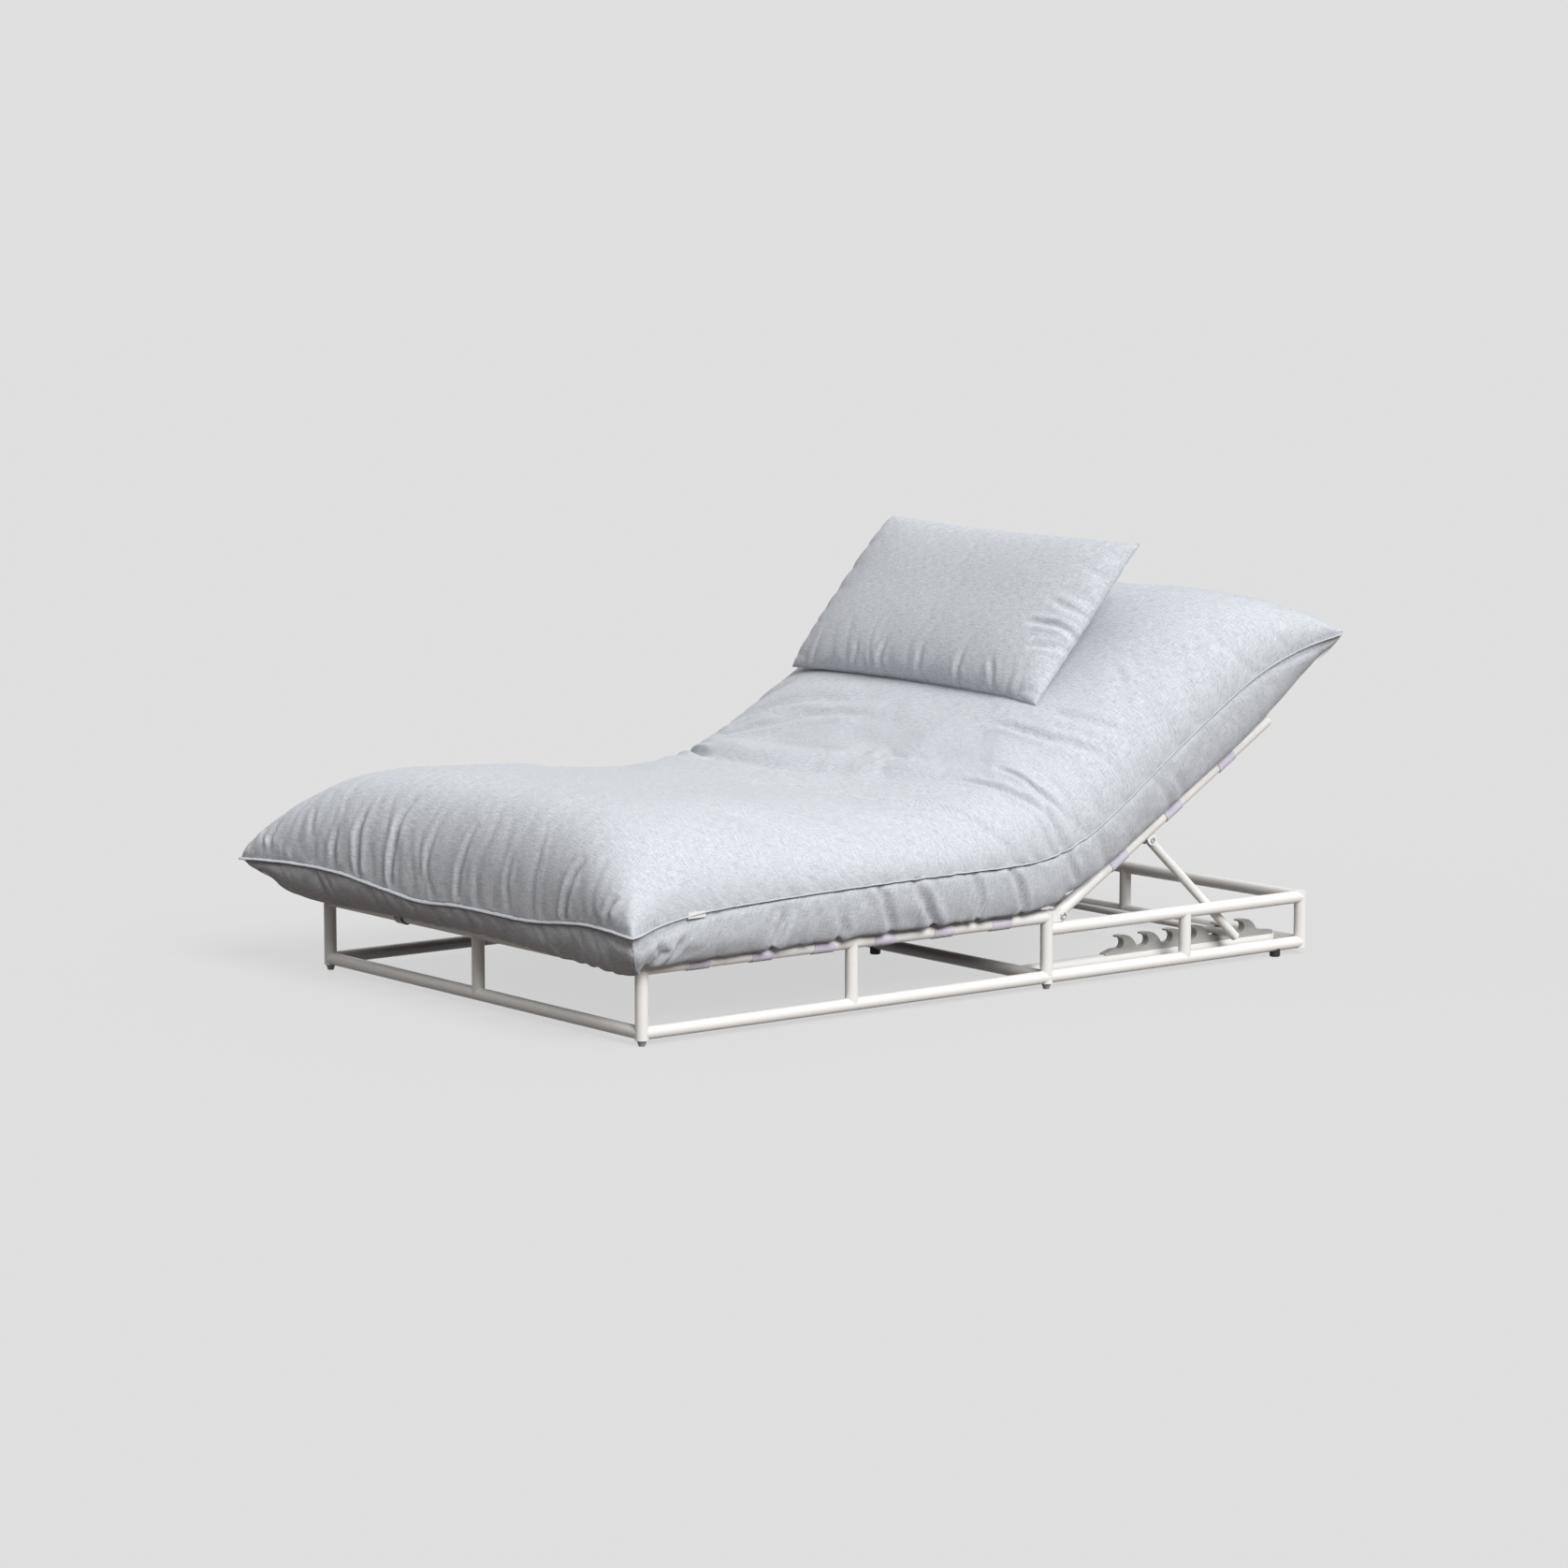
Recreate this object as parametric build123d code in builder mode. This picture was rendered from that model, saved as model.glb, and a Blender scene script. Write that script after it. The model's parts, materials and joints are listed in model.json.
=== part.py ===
"""Double chaise lounger: tube frame, ratchet backrest, webbing straps, overstuffed pad and pillow.

Millimetres, +Z up. The foot end points to -Y and the head end to +Y, +X is the right side as seen
from the foot. The origin is on the floor below the centre foot, under the line of the hinge posts.
The backrest stands in the fifth of its six notches, as it is pictured.
"""
import os
from math import atan2, cos, degrees, hypot, radians, sin, sqrt

from build123d import *

os.makedirs("parts", exist_ok=True)

# Frame
frame_length = 2030.0
frame_width = 1290.0
tube_diameter = 30.0
tube_wall = 1.5
floor_gap = 13.0
seat_rail_rise = 142.0
seat_bay_length = 1171.0
rear_side_post_setback = 442.0
rack_rail_inset = 90.0
weld_gap = 0.05
overrun = 5.0

# Feet
glide_top_radius = 11.0
glide_foot_radius = 7.0
glide_stem_radius = 4.0
glide_stem_length = 16.0
insert_length = 20.0
thread_play = 0.05
rubber_foot_radius = 13.0
rubber_foot_edge = 2.0
rear_foot_inset = 84.0
foot_screw_radius = 2.5
foot_screw_length = 10.0
foot_screw_head_radius = 4.5
foot_screw_head_height = 3.0

# Backrest hinge
hinge_setback = 44.0
hinge_plate_thickness = 4.0
hinge_plate_radius = 14.0
hinge_plate_offset = 3.0
hinge_bolt_radius = 5.0
hinge_head_radius = 8.5
hinge_head_height = 6.0
hex_recess_width = 8.0
hex_recess_depth = 4.0
hinge_nut_width = 17.0
hinge_nut_height = 8.0
washer_radius = 9.5
washer_thickness = 1.5
sleeve_wall = 2.0
running_play = 0.05
side_play = 0.2

# Backrest frame
backrest_angle = 31.3
backrest_length = 785.0
back_tube_inset = 15.0
back_cross_diameter = 25.0
back_cross_setback = 40.0

# Prop: two legs and the bar that rests in the racks
leg_diameter = 22.0
leg_wall = 1.5
leg_inset = 13.0
leg_end_overhang = 12.0
prop_pivot_setback = 336.0
bracket_thickness = 2.5
bracket_side_play = 1.0
bracket_length = 26.0
prop_bolt_radius = 4.0
prop_head_radius = 6.5
prop_head_height = 4.0
prop_nut_width = 13.0
prop_nut_height = 6.0
bar_diameter = 18.0
bar_play = 0.3

# Ratchet racks
notch_count = 6
bar_notch = 5
notch_pitch = 80.0
first_tip_setback = 301.0
rack_thickness = 20.0
rack_lip = 0.5
rack_toe_height = 2.0
rack_ramp_length = 42.0
rack_floor_height = 10.5
throat_radius = 13.5
throat_offset = 4.0
tip_thickness = 3.5
hook_length = 60.0
rack_tail_height = 6.0
rack_screw_radius = 2.5
rack_screw_head_radius = 4.5
rack_screw_length = 26.0
rack_screw_setback = 70.0

# Webbing straps
strap_width = 58.0
strap_thickness = 1.8
strap_gap = 0.1
strap_tail_reach = 70.0
seat_strap_count = 6
first_seat_strap_setback = 148.0
last_seat_strap_setback = 150.0
back_strap_count = 3
back_strap_pitch = 202.0
first_back_strap_setback = 218.0

# Pad and pillow
soft_gap = 0.3
pad_side_overhang = 45.0
pad_seam_height = 115.0
pad_crown_height = 340.0
pad_foot_overhang = 135.0
pad_head_overhang = 215.0
back_pad_seam_height = 140.0
back_pad_crown_height = 345.0
raised_travel = 27.0
bend_margin = 0.6
pillow_width = 951.0
pillow_height = 487.0
pillow_thickness = 160.0
pillow_edge_thickness = 8.0
pillow_lean = 18.0
pillow_turn = -1.5
pillow_centre_x = -35.0
pillow_centre_setback = 564.0
pillow_lift = 14.4
tag_length = 50.0
tag_height = 14.0
tag_thickness = 1.2
tag_setback = 95.0
tag_stand_off = 1.9
tie_hook_x = -307.0
tie_hook_width = 30.0
tie_hook_thickness = 4.0
tie_hook_lip = 6.0

# Places that follow from the sizes above
tube_radius = tube_diameter / 2
side_x = frame_width / 2 - tube_radius
rack_x = side_x - rack_rail_inset
back_tube_x = side_x - back_tube_inset
leg_x = back_tube_x - leg_inset
pad_half_width = frame_width / 2 + pad_side_overhang
front_y = -seat_bay_length
rear_y = frame_length - tube_diameter - seat_bay_length
mid_post_y = front_y / 2
bottom_z = floor_gap + tube_radius
seat_z = bottom_z + seat_rail_rise
rear_z = seat_z - tube_diameter
sides = (("left", -1), ("right", 1))


def rod(start, end, radius):
    """Return a solid round bar between two points."""
    axis = Vector(*end) - Vector(*start)
    with BuildPart() as bar:
        with BuildSketch(Plane(origin=start, z_dir=axis)):
            Circle(radius)
        extrude(amount=axis.length)
    return bar.part


def pipe(start, end, cutters=(), radius=tube_radius, wall=tube_wall):
    """Return an open tube between two points, coped round the bars it is welded to."""
    axis = Vector(*end) - Vector(*start)
    with BuildPart() as tube:
        with BuildSketch(Plane(origin=start, z_dir=axis)):
            Circle(radius)
            Circle(radius - wall, mode=Mode.SUBTRACT)
        extrude(amount=axis.length)
        for cutter in cutters:
            add(cutter, mode=Mode.SUBTRACT)
    return tube.part


def domed_tube(start, end, radius, wall, end_domed, cutters=()):
    """Return a closed tube with a round nose at its start and a round or flat far end."""
    axis = Vector(*end) - Vector(*start)
    bore_length = axis.length if end_domed else axis.length - wall
    with BuildPart() as tube:
        for inset, length, mode in ((0, axis.length, Mode.ADD), (wall, bore_length, Mode.SUBTRACT)):
            with BuildSketch(Plane(origin=start, z_dir=axis)):
                Circle(radius - inset)
            extrude(amount=length, mode=mode)
            with Locations(start):
                Sphere(radius - inset, mode=mode)
            if end_domed:
                with Locations(end):
                    Sphere(radius - inset, mode=mode)
        for cutter in cutters:
            add(cutter, mode=Mode.SUBTRACT)
    return tube.part


def finish(part, name):
    """Label a finished piece and write its file."""
    part.label = name
    export_step(part, f"parts/{name}.step")


def weld_line(start, end, radius=tube_radius):
    """Return the bar that a welded tube end is coped round."""
    return rod(start, end, radius + weld_gap)


# Frame posts: closed at the top, open at the bottom for the glide inserts
post_places = {}
for side, sign in sides:
    post_places[f"{side}_front_post"] = (sign * side_x, front_y, seat_z + tube_radius)
    post_places[f"{side}_hinge_post"] = (sign * side_x, 0, seat_z + tube_radius)
    post_places[f"{side}_rear_post"] = (sign * side_x, rear_y, rear_z + tube_radius)

for name, (x, y, top) in post_places.items():
    with BuildPart() as post:
        with BuildSketch(Plane(origin=(x, y, floor_gap))):
            Circle(tube_radius)
        extrude(amount=top - floor_gap)
        with BuildSketch(Plane(origin=(x, y, floor_gap))):
            Circle(tube_radius - tube_wall)
        extrude(amount=top - floor_gap - tube_wall, mode=Mode.SUBTRACT)
    finish(post.part, name)

post_bars = [weld_line((x, y, 0), (x, y, top + overrun)) for x, y, top in post_places.values()]

# Rails between the posts
rail_ends = {
    "front_bottom_rail": ((-side_x, front_y, bottom_z), (side_x, front_y, bottom_z)),
    "front_seat_rail": ((-side_x, front_y, seat_z), (side_x, front_y, seat_z)),
    "seat_cross_rail": ((-side_x, 0, seat_z), (side_x, 0, seat_z)),
    "bottom_cross_rail": ((-side_x, 0, bottom_z), (side_x, 0, bottom_z)),
    "head_rail": ((-side_x, rear_y, rear_z), (side_x, rear_y, rear_z)),
    "rear_bottom_rail": ((-side_x, rear_y, bottom_z), (side_x, rear_y, bottom_z)),
}
for side, sign in sides:
    x = sign * side_x
    rail_ends[f"{side}_front_bottom_rail"] = ((x, front_y, bottom_z), (x, 0, bottom_z))
    rail_ends[f"{side}_rear_bottom_rail"] = ((x, 0, bottom_z), (x, rear_y, bottom_z))
    rail_ends[f"{side}_seat_rail"] = ((x, front_y, seat_z), (x, 0, seat_z))
    rail_ends[f"{side}_rear_rail"] = ((x, 0, rear_z), (x, rear_y, rear_z))

# Rubber feet sit under rails, each on a screw that needs a hole there
rubber_feet = {
    "centre_foot": [(0, 0)],
    "rear_feet": [(-side_x, rear_y - rear_foot_inset), (side_x, rear_y - rear_foot_inset)],
}
foot_screw_holes = [
    rod((x, y, 0), (x, y, bottom_z), foot_screw_radius + thread_play)
    for places in rubber_feet.values()
    for x, y in places
]
for name, (start, end) in rail_ends.items():
    drilled = name == "bottom_cross_rail" or name.endswith("rear_bottom_rail")
    cutters = post_bars + (foot_screw_holes if drilled else [])
    if start[0] == end[0]:
        cutters = cutters + [
            weld_line(*ends) for ends in rail_ends.values() if ends[0][1:] == ends[1][1:] and ends[0][2] == start[2]
        ]
    finish(pipe(start, end, cutters), name)

# Short posts between a bottom rail and the rail above it
short_posts = {
    "front_mid_post": (0, front_y, "front_bottom_rail", "front_seat_rail"),
    "head_mid_post": (0, rear_y, "rear_bottom_rail", "head_rail"),
}
for side, sign in sides:
    x = sign * side_x
    short_posts[f"{side}_mid_post"] = (x, mid_post_y, f"{side}_front_bottom_rail", f"{side}_seat_rail")
    short_posts[f"{side}_rear_side_post"] = (
        x, rear_side_post_setback, f"{side}_rear_bottom_rail", f"{side}_rear_rail"
    )
for name, (x, y, lower, upper) in short_posts.items():
    low_z = rail_ends[lower][0][2]
    high_z = rail_ends[upper][0][2]
    cutters = [weld_line(*rail_ends[lower]), weld_line(*rail_ends[upper])]
    finish(pipe((x, y, low_z), (x, y, high_z), cutters), name)

# Glide inserts in the four open posts at the foot end and the hinge, and their screwed glides
glide_places = [(sign * side_x, y) for _, sign in sides for y in (front_y, 0)]
insert_radius = tube_radius - tube_wall - weld_gap
with BuildPart() as glide_inserts:
    for x, y in glide_places:
        with BuildSketch(Plane(origin=(x, y, floor_gap))):
            Circle(insert_radius)
            Circle(glide_stem_radius + thread_play, mode=Mode.SUBTRACT)
        extrude(amount=insert_length)
finish(glide_inserts.part, "glide_inserts")

with BuildPart() as foot_glides:
    for x, y in glide_places:
        with BuildSketch(Plane(origin=(x, y, 0), x_dir=(1, 0, 0), z_dir=(0, -1, 0))):
            with BuildLine():
                Polyline(
                    (0, 0),
                    (glide_foot_radius, 0),
                    (glide_top_radius, floor_gap - tube_wall),
                    (glide_top_radius, floor_gap),
                    (glide_stem_radius, floor_gap),
                    (glide_stem_radius, floor_gap + glide_stem_length),
                    (0, floor_gap + glide_stem_length),
                    close=True,
                )
            make_face()
        revolve(axis=Axis((x, y, 0), (0, 0, 1)))
finish(foot_glides.part, "foot_glides")

# Rubber feet with a saddle top that hugs the rail, and the screws that hold them
for name, places in rubber_feet.items():
    with BuildPart() as feet:
        for x, y in places:
            with BuildSketch(Plane(origin=(x, y, 0))):
                Circle(rubber_foot_radius)
            extrude(amount=bottom_z - sqrt(tube_radius**2 - rubber_foot_radius**2))
        chamfer(feet.faces().group_by(Axis.Z)[0].edges(), length=rubber_foot_edge)
        for start, end in rail_ends.values():
            if start[2] == bottom_z:
                add(weld_line(start, end), mode=Mode.SUBTRACT)
        for x, y in places:
            with BuildSketch(Plane(origin=(x, y, 0))):
                Circle(foot_screw_head_radius + thread_play)
            extrude(amount=foot_screw_head_height + rubber_foot_edge, mode=Mode.SUBTRACT)
        for hole in foot_screw_holes:
            add(hole, mode=Mode.SUBTRACT)
    finish(feet.part, name)

with BuildPart() as foot_screws:
    for places in rubber_feet.values():
        for x, y in places:
            with BuildSketch(Plane(origin=(x, y, rubber_foot_edge))):
                Circle(foot_screw_head_radius)
            extrude(amount=foot_screw_head_height)
            with BuildSketch(Plane(origin=(x, y, rubber_foot_edge + foot_screw_head_height))):
                Circle(foot_screw_radius)
            extrude(amount=foot_screw_length)
finish(foot_screws.part, "foot_screws")

# Backrest frame of reference: along the backrest from the hinge pin, and square to it
pin_y = hinge_setback
pin_z = seat_z
slope = radians(backrest_angle)


def on_back(x, along, above):
    """Return the point that lies so far up the backrest and above the plane of its tubes."""
    return (
        x,
        pin_y + along * cos(slope) - above * sin(slope),
        pin_z + along * sin(slope) + above * cos(slope),
    )


# Hinge plates, welded to the back of the hinge posts
plate_inner_x = back_tube_x + tube_radius + hinge_plate_offset
for side, sign in sides:
    with BuildPart() as plate:
        with BuildSketch(Plane(origin=(sign * plate_inner_x, 0, seat_z), x_dir=(0, 1, 0), z_dir=(1, 0, 0))):
            with Locations((hinge_setback / 2, 0)):
                Rectangle(hinge_setback, 2 * hinge_plate_radius)
            with Locations((hinge_setback, 0)):
                Circle(hinge_plate_radius)
                Circle(hinge_bolt_radius + thread_play, mode=Mode.SUBTRACT)
        extrude(amount=sign * hinge_plate_thickness)
        for post_bar in post_bars:
            add(post_bar, mode=Mode.SUBTRACT)
    finish(plate.part, f"{side}_hinge_plate")


def cross_bolt(x_head, x_tip, y, z, shank_radius, head_radius, head_height, recess):
    """Return a bolt across the frame, its head standing out at x_head, with a hexagon recess."""
    outward = 1 if x_head > x_tip else -1
    with BuildPart() as bolt:
        with BuildSketch(Plane(origin=(x_tip, y, z), z_dir=(outward, 0, 0))):
            Circle(shank_radius)
        extrude(amount=abs(x_head - x_tip))
        with BuildSketch(Plane(origin=(x_head, y, z), z_dir=(outward, 0, 0))):
            Circle(head_radius)
        extrude(amount=head_height)
        chamfer(bolt.faces().sort_by(Axis.X)[-1 if outward > 0 else 0].edges(), length=head_height / 8)
        with BuildSketch(Plane(origin=(x_head + outward * head_height, y, z), z_dir=(outward, 0, 0))):
            RegularPolygon(recess / 2, 6, major_radius=False)
        extrude(amount=-min(hex_recess_depth, head_height / 2 + tube_wall), mode=Mode.SUBTRACT)
    return bolt.part


def rings(stations, outer, inner, length, y, z, hexagon=False):
    """Return a group of washers or nuts across the frame, each from its station towards the middle."""
    with BuildPart() as group:
        for x in stations:
            inward = -1 if x > 0 else 1
            with BuildSketch(Plane(origin=(x, y, z), z_dir=(inward, 0, 0))):
                if hexagon:
                    RegularPolygon(outer, 6, major_radius=False)
                else:
                    Circle(outer)
                Circle(inner, mode=Mode.SUBTRACT)
            extrude(amount=length)
    return group.part


tube_inner_x = back_tube_x - tube_radius
nut_x = tube_inner_x - side_play - washer_thickness
bolt_tip_x = nut_x - hinge_nut_height - tube_wall
with BuildPart() as hinge_bolts:
    for _, sign in sides:
        add(
            cross_bolt(
                sign * (plate_inner_x + hinge_plate_thickness), sign * bolt_tip_x, pin_y, pin_z,
                hinge_bolt_radius, hinge_head_radius, hinge_head_height, hex_recess_width,
            )
        )
finish(hinge_bolts.part, "hinge_bolts")
finish(
    rings(
        (-nut_x, nut_x), hinge_nut_width / 2, hinge_bolt_radius + thread_play,
        hinge_nut_height, pin_y, pin_z, hexagon=True,
    ),
    "hinge_nuts",
)
washer_stack = hinge_plate_offset - 2 * side_play
with BuildPart() as hinge_washers:
    add(
        rings(
            (-plate_inner_x + side_play, plate_inner_x - side_play), washer_radius,
            hinge_bolt_radius + thread_play, washer_stack, pin_y, pin_z,
        )
    )
    add(
        rings(
            (-tube_inner_x + side_play, tube_inner_x - side_play), washer_radius,
            hinge_bolt_radius + thread_play, washer_thickness, pin_y, pin_z,
        )
    )
finish(hinge_washers.part, "hinge_washers")

# Hinge sleeves, pressed through the backrest tubes, turn on the bolts
sleeve_radius = hinge_bolt_radius + running_play + sleeve_wall
finish(
    rings(
        (-back_tube_x - tube_radius, back_tube_x + tube_radius), sleeve_radius,
        hinge_bolt_radius + running_play, tube_diameter, pin_y, pin_z,
    ),
    "hinge_sleeves",
)

# Backrest tubes
for side, sign in sides:
    x = sign * back_tube_x
    sleeve_hole = rod(
        (x - sign * tube_diameter, pin_y, pin_z), (x + sign * tube_diameter, pin_y, pin_z),
        sleeve_radius + thread_play,
    )
    back_tube = domed_tube(
        on_back(x, 0, 0), on_back(x, backrest_length, 0), tube_radius, tube_wall, True, [sleeve_hole]
    )
    finish(back_tube, f"{side}_back_tube")

back_tube_bars = [
    weld_line(on_back(sign * back_tube_x, -tube_diameter, 0), on_back(sign * back_tube_x, backrest_length, 0))
    for _, sign in sides
] + [
    rod(
        on_back(sign * back_tube_x, backrest_length, 0),
        on_back(sign * back_tube_x, backrest_length + tube_diameter, 0), tube_radius + weld_gap,
    )
    for _, sign in sides
]
finish(
    pipe(
        on_back(-back_tube_x, backrest_length, 0), on_back(back_tube_x, backrest_length, 0), back_tube_bars
    ),
    "back_top_tube",
)
finish(
    pipe(
        on_back(-back_tube_x, back_cross_setback, 0), on_back(back_tube_x, back_cross_setback, 0),
        back_tube_bars, back_cross_diameter / 2,
    ),
    "back_bottom_tube",
)

# Prop pivot, and the notch that holds the bar
leg_radius = leg_diameter / 2
bar_radius = bar_diameter / 2
pivot_drop = tube_radius + bracket_thickness + bar_play + leg_radius
_, pivot_y, pivot_z = on_back(0, prop_pivot_setback, -pivot_drop)
rail_top_z = bottom_z + tube_radius


def throat_centre(notch):
    """Return y and z of the middle of a notch, counted from the foot end."""
    y = first_tip_setback + (notch - 1) * notch_pitch + throat_offset
    return y, rail_top_z + rack_floor_height + throat_radius


throat_y, throat_z = throat_centre(bar_notch)
lean_length = hypot(throat_y - pivot_y, throat_z - pivot_z)
lean_y = (throat_y - pivot_y) / lean_length
lean_z = (throat_z - pivot_z) / lean_length
bar_seat = throat_radius - bar_radius - bar_play
bar_y = throat_y + lean_y * bar_seat
bar_z = throat_z + lean_z * bar_seat

# Prop brackets: a folded channel under each backrest tube
cheek_reach = leg_radius + bracket_side_play
cheek_top = tube_radius + bracket_thickness
for side, sign in sides:
    side_plane = Plane(
        origin=on_back(sign * leg_x, prop_pivot_setback, 0), x_dir=(0, cos(slope), sin(slope)), z_dir=(1, 0, 0)
    )
    with BuildPart() as bracket:
        with BuildSketch(side_plane):
            with Locations((0, -pivot_drop)):
                Circle(bracket_length / 2)
                Rectangle(bracket_length, pivot_drop, align=(Align.CENTER, Align.MIN))
        extrude(amount=cheek_reach + bracket_thickness, both=True)
        with BuildSketch(side_plane):
            with Locations((0, -cheek_top)):
                Rectangle(2 * bracket_length, 2 * bracket_length, align=(Align.CENTER, Align.MAX))
        extrude(amount=cheek_reach, both=True, mode=Mode.SUBTRACT)
        with BuildSketch(side_plane):
            with Locations((0, -pivot_drop)):
                Circle(prop_bolt_radius + thread_play)
        extrude(amount=bracket_length, both=True, mode=Mode.SUBTRACT)
        add(
            weld_line(
                on_back(sign * back_tube_x, 0, 0), on_back(sign * back_tube_x, backrest_length, 0)
            ),
            mode=Mode.SUBTRACT,
        )
    solids = bracket.part.solids().sort_by(SortBy.VOLUME)
    finish(Part(solids[-1].wrapped), f"{side}_prop_bracket")

bracket_outer_x = leg_x + cheek_reach + bracket_thickness
prop_nut_x = leg_x - cheek_reach - bracket_thickness
with BuildPart() as prop_bolts:
    for _, sign in sides:
        add(
            cross_bolt(
                sign * bracket_outer_x, sign * (prop_nut_x - prop_nut_height - tube_wall), pivot_y, pivot_z,
                prop_bolt_radius, prop_head_radius, prop_head_height, prop_head_radius,
            )
        )
finish(prop_bolts.part, "prop_bolts")
finish(
    rings(
        (-prop_nut_x, prop_nut_x), prop_nut_width / 2, prop_bolt_radius + thread_play,
        prop_nut_height, pivot_y, pivot_z, hexagon=True,
    ),
    "prop_nuts",
)

# Prop legs and the bar between them
leg_end_y = bar_y + lean_y * leg_end_overhang
leg_end_z = bar_z + lean_z * leg_end_overhang
for side, sign in sides:
    x = sign * leg_x
    bolt_hole = rod(
        (x - sign * leg_diameter, pivot_y, pivot_z), (x + sign * leg_diameter, pivot_y, pivot_z),
        prop_bolt_radius + running_play,
    )
    leg = domed_tube(
        (x, pivot_y, pivot_z), (x, leg_end_y, leg_end_z), leg_radius, leg_wall, False, [bolt_hole]
    )
    finish(leg, f"{side}_prop_leg")

leg_bars = [
    weld_line((sign * leg_x, pivot_y, pivot_z), (sign * leg_x, leg_end_y, leg_end_z), leg_radius)
    for _, sign in sides
]
finish(
    pipe((-leg_x, bar_y, bar_z), (leg_x, bar_y, bar_z), leg_bars, bar_radius, leg_wall),
    "prop_bar",
)

# Rack rails, drilled for the rack screws
screw_notches = (1, 3, 5)
screw_places = [
    first_tip_setback + (notch - 1) * notch_pitch + rack_screw_setback for notch in screw_notches
]
cross_bars = [weld_line(*rail_ends["bottom_cross_rail"]), weld_line(*rail_ends["rear_bottom_rail"])]
rack_floor_z = rail_top_z + rack_floor_height
for side, sign in sides:
    x = sign * rack_x
    screw_holes = [
        rod((x, y, bottom_z), (x, y, rack_floor_z + overrun), rack_screw_radius + thread_play)
        for y in screw_places
    ]
    rack_rail = pipe((x, 0, bottom_z), (x, rear_y, bottom_z), cross_bars + screw_holes)
    finish(rack_rail, f"{side}_rack_rail")

# Ratchet racks: six hooks that open towards the foot end, on a saddle over the rail
hook_top_height = rack_floor_height + 2 * throat_radius + tip_thickness
hook_back_shares = ((0.24, 1.03), (0.55, 0.95), (0.82, 0.66))
rack_base_z = bottom_z + sqrt(tube_radius**2 - (rack_thickness / 2) ** 2) + rack_lip
rack_end_y = rear_y - tube_radius
for side, sign in sides:
    x = sign * rack_x
    rack_plane = Plane(origin=(x - rack_thickness / 2, 0, 0), x_dir=(0, 1, 0), z_dir=(1, 0, 0))
    with BuildPart() as rack:
        with BuildSketch(rack_plane):
            with BuildLine():
                ramp_y = first_tip_setback - rack_ramp_length
                Line((ramp_y, rack_base_z), (ramp_y, rail_top_z + rack_toe_height))
                last = (ramp_y, rail_top_z + rack_toe_height)
                for notch in range(1, notch_count + 1):
                    tip_y = first_tip_setback + (notch - 1) * notch_pitch
                    middle_y, middle_z = throat_centre(notch)
                    low = (middle_y, middle_z - throat_radius)
                    high = (middle_y, middle_z + throat_radius)
                    if notch == 1:
                        ramp_top = (tip_y - throat_radius, rack_floor_z)
                        Line(last, ramp_top)
                        last = ramp_top
                    Line(last, low)
                    ThreePointArc(low, (middle_y + throat_radius, middle_z), high)
                    tip_low = (tip_y, high[1])
                    tip_high = (tip_y, rail_top_z + hook_top_height)
                    Line(high, tip_low)
                    Line(tip_low, tip_high)
                    crest, shoulder, flank = [
                        (tip_y + along * hook_length, rail_top_z + up * hook_top_height)
                        for along, up in hook_back_shares
                    ]
                    heel = (tip_y + hook_length, rack_floor_z)
                    ThreePointArc(tip_high, crest, shoulder)
                    ThreePointArc(shoulder, flank, heel)
                    last = heel
                tail_top = (rack_end_y, rail_top_z + rack_tail_height)
                Line(last, tail_top)
                Line(tail_top, (rack_end_y, rack_base_z))
                Line((rack_end_y, rack_base_z), (ramp_y, rack_base_z))
            make_face()
        extrude(amount=rack_thickness)
        add(weld_line((x, 0, bottom_z), (x, rear_y, bottom_z)), mode=Mode.SUBTRACT)
        add(weld_line(*rail_ends["rear_bottom_rail"]), mode=Mode.SUBTRACT)
        with Locations([(x, y, rack_floor_z) for y in screw_places]):
            CounterSinkHole(
                rack_screw_radius + thread_play, rack_screw_head_radius + thread_play,
                depth=rack_screw_length,
            )
    finish(rack.part, f"{side}_rack")

with BuildPart() as rack_screws:
    for _, sign in sides:
        for y in screw_places:
            cone_depth = rack_screw_head_radius - rack_screw_radius
            with BuildSketch(Plane(origin=(sign * rack_x, y, 0), x_dir=(1, 0, 0), z_dir=(0, -1, 0))):
                with BuildLine():
                    Polyline(
                        (0, rack_floor_z - rack_screw_length),
                        (rack_screw_radius, rack_floor_z - rack_screw_length),
                        (rack_screw_radius, rack_floor_z - cone_depth),
                        (rack_screw_head_radius, rack_floor_z),
                        (0, rack_floor_z),
                        close=True,
                    )
                make_face()
            revolve(axis=Axis((sign * rack_x, y, 0), (0, 0, 1)))
finish(rack_screws.part, "rack_screws")


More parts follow.
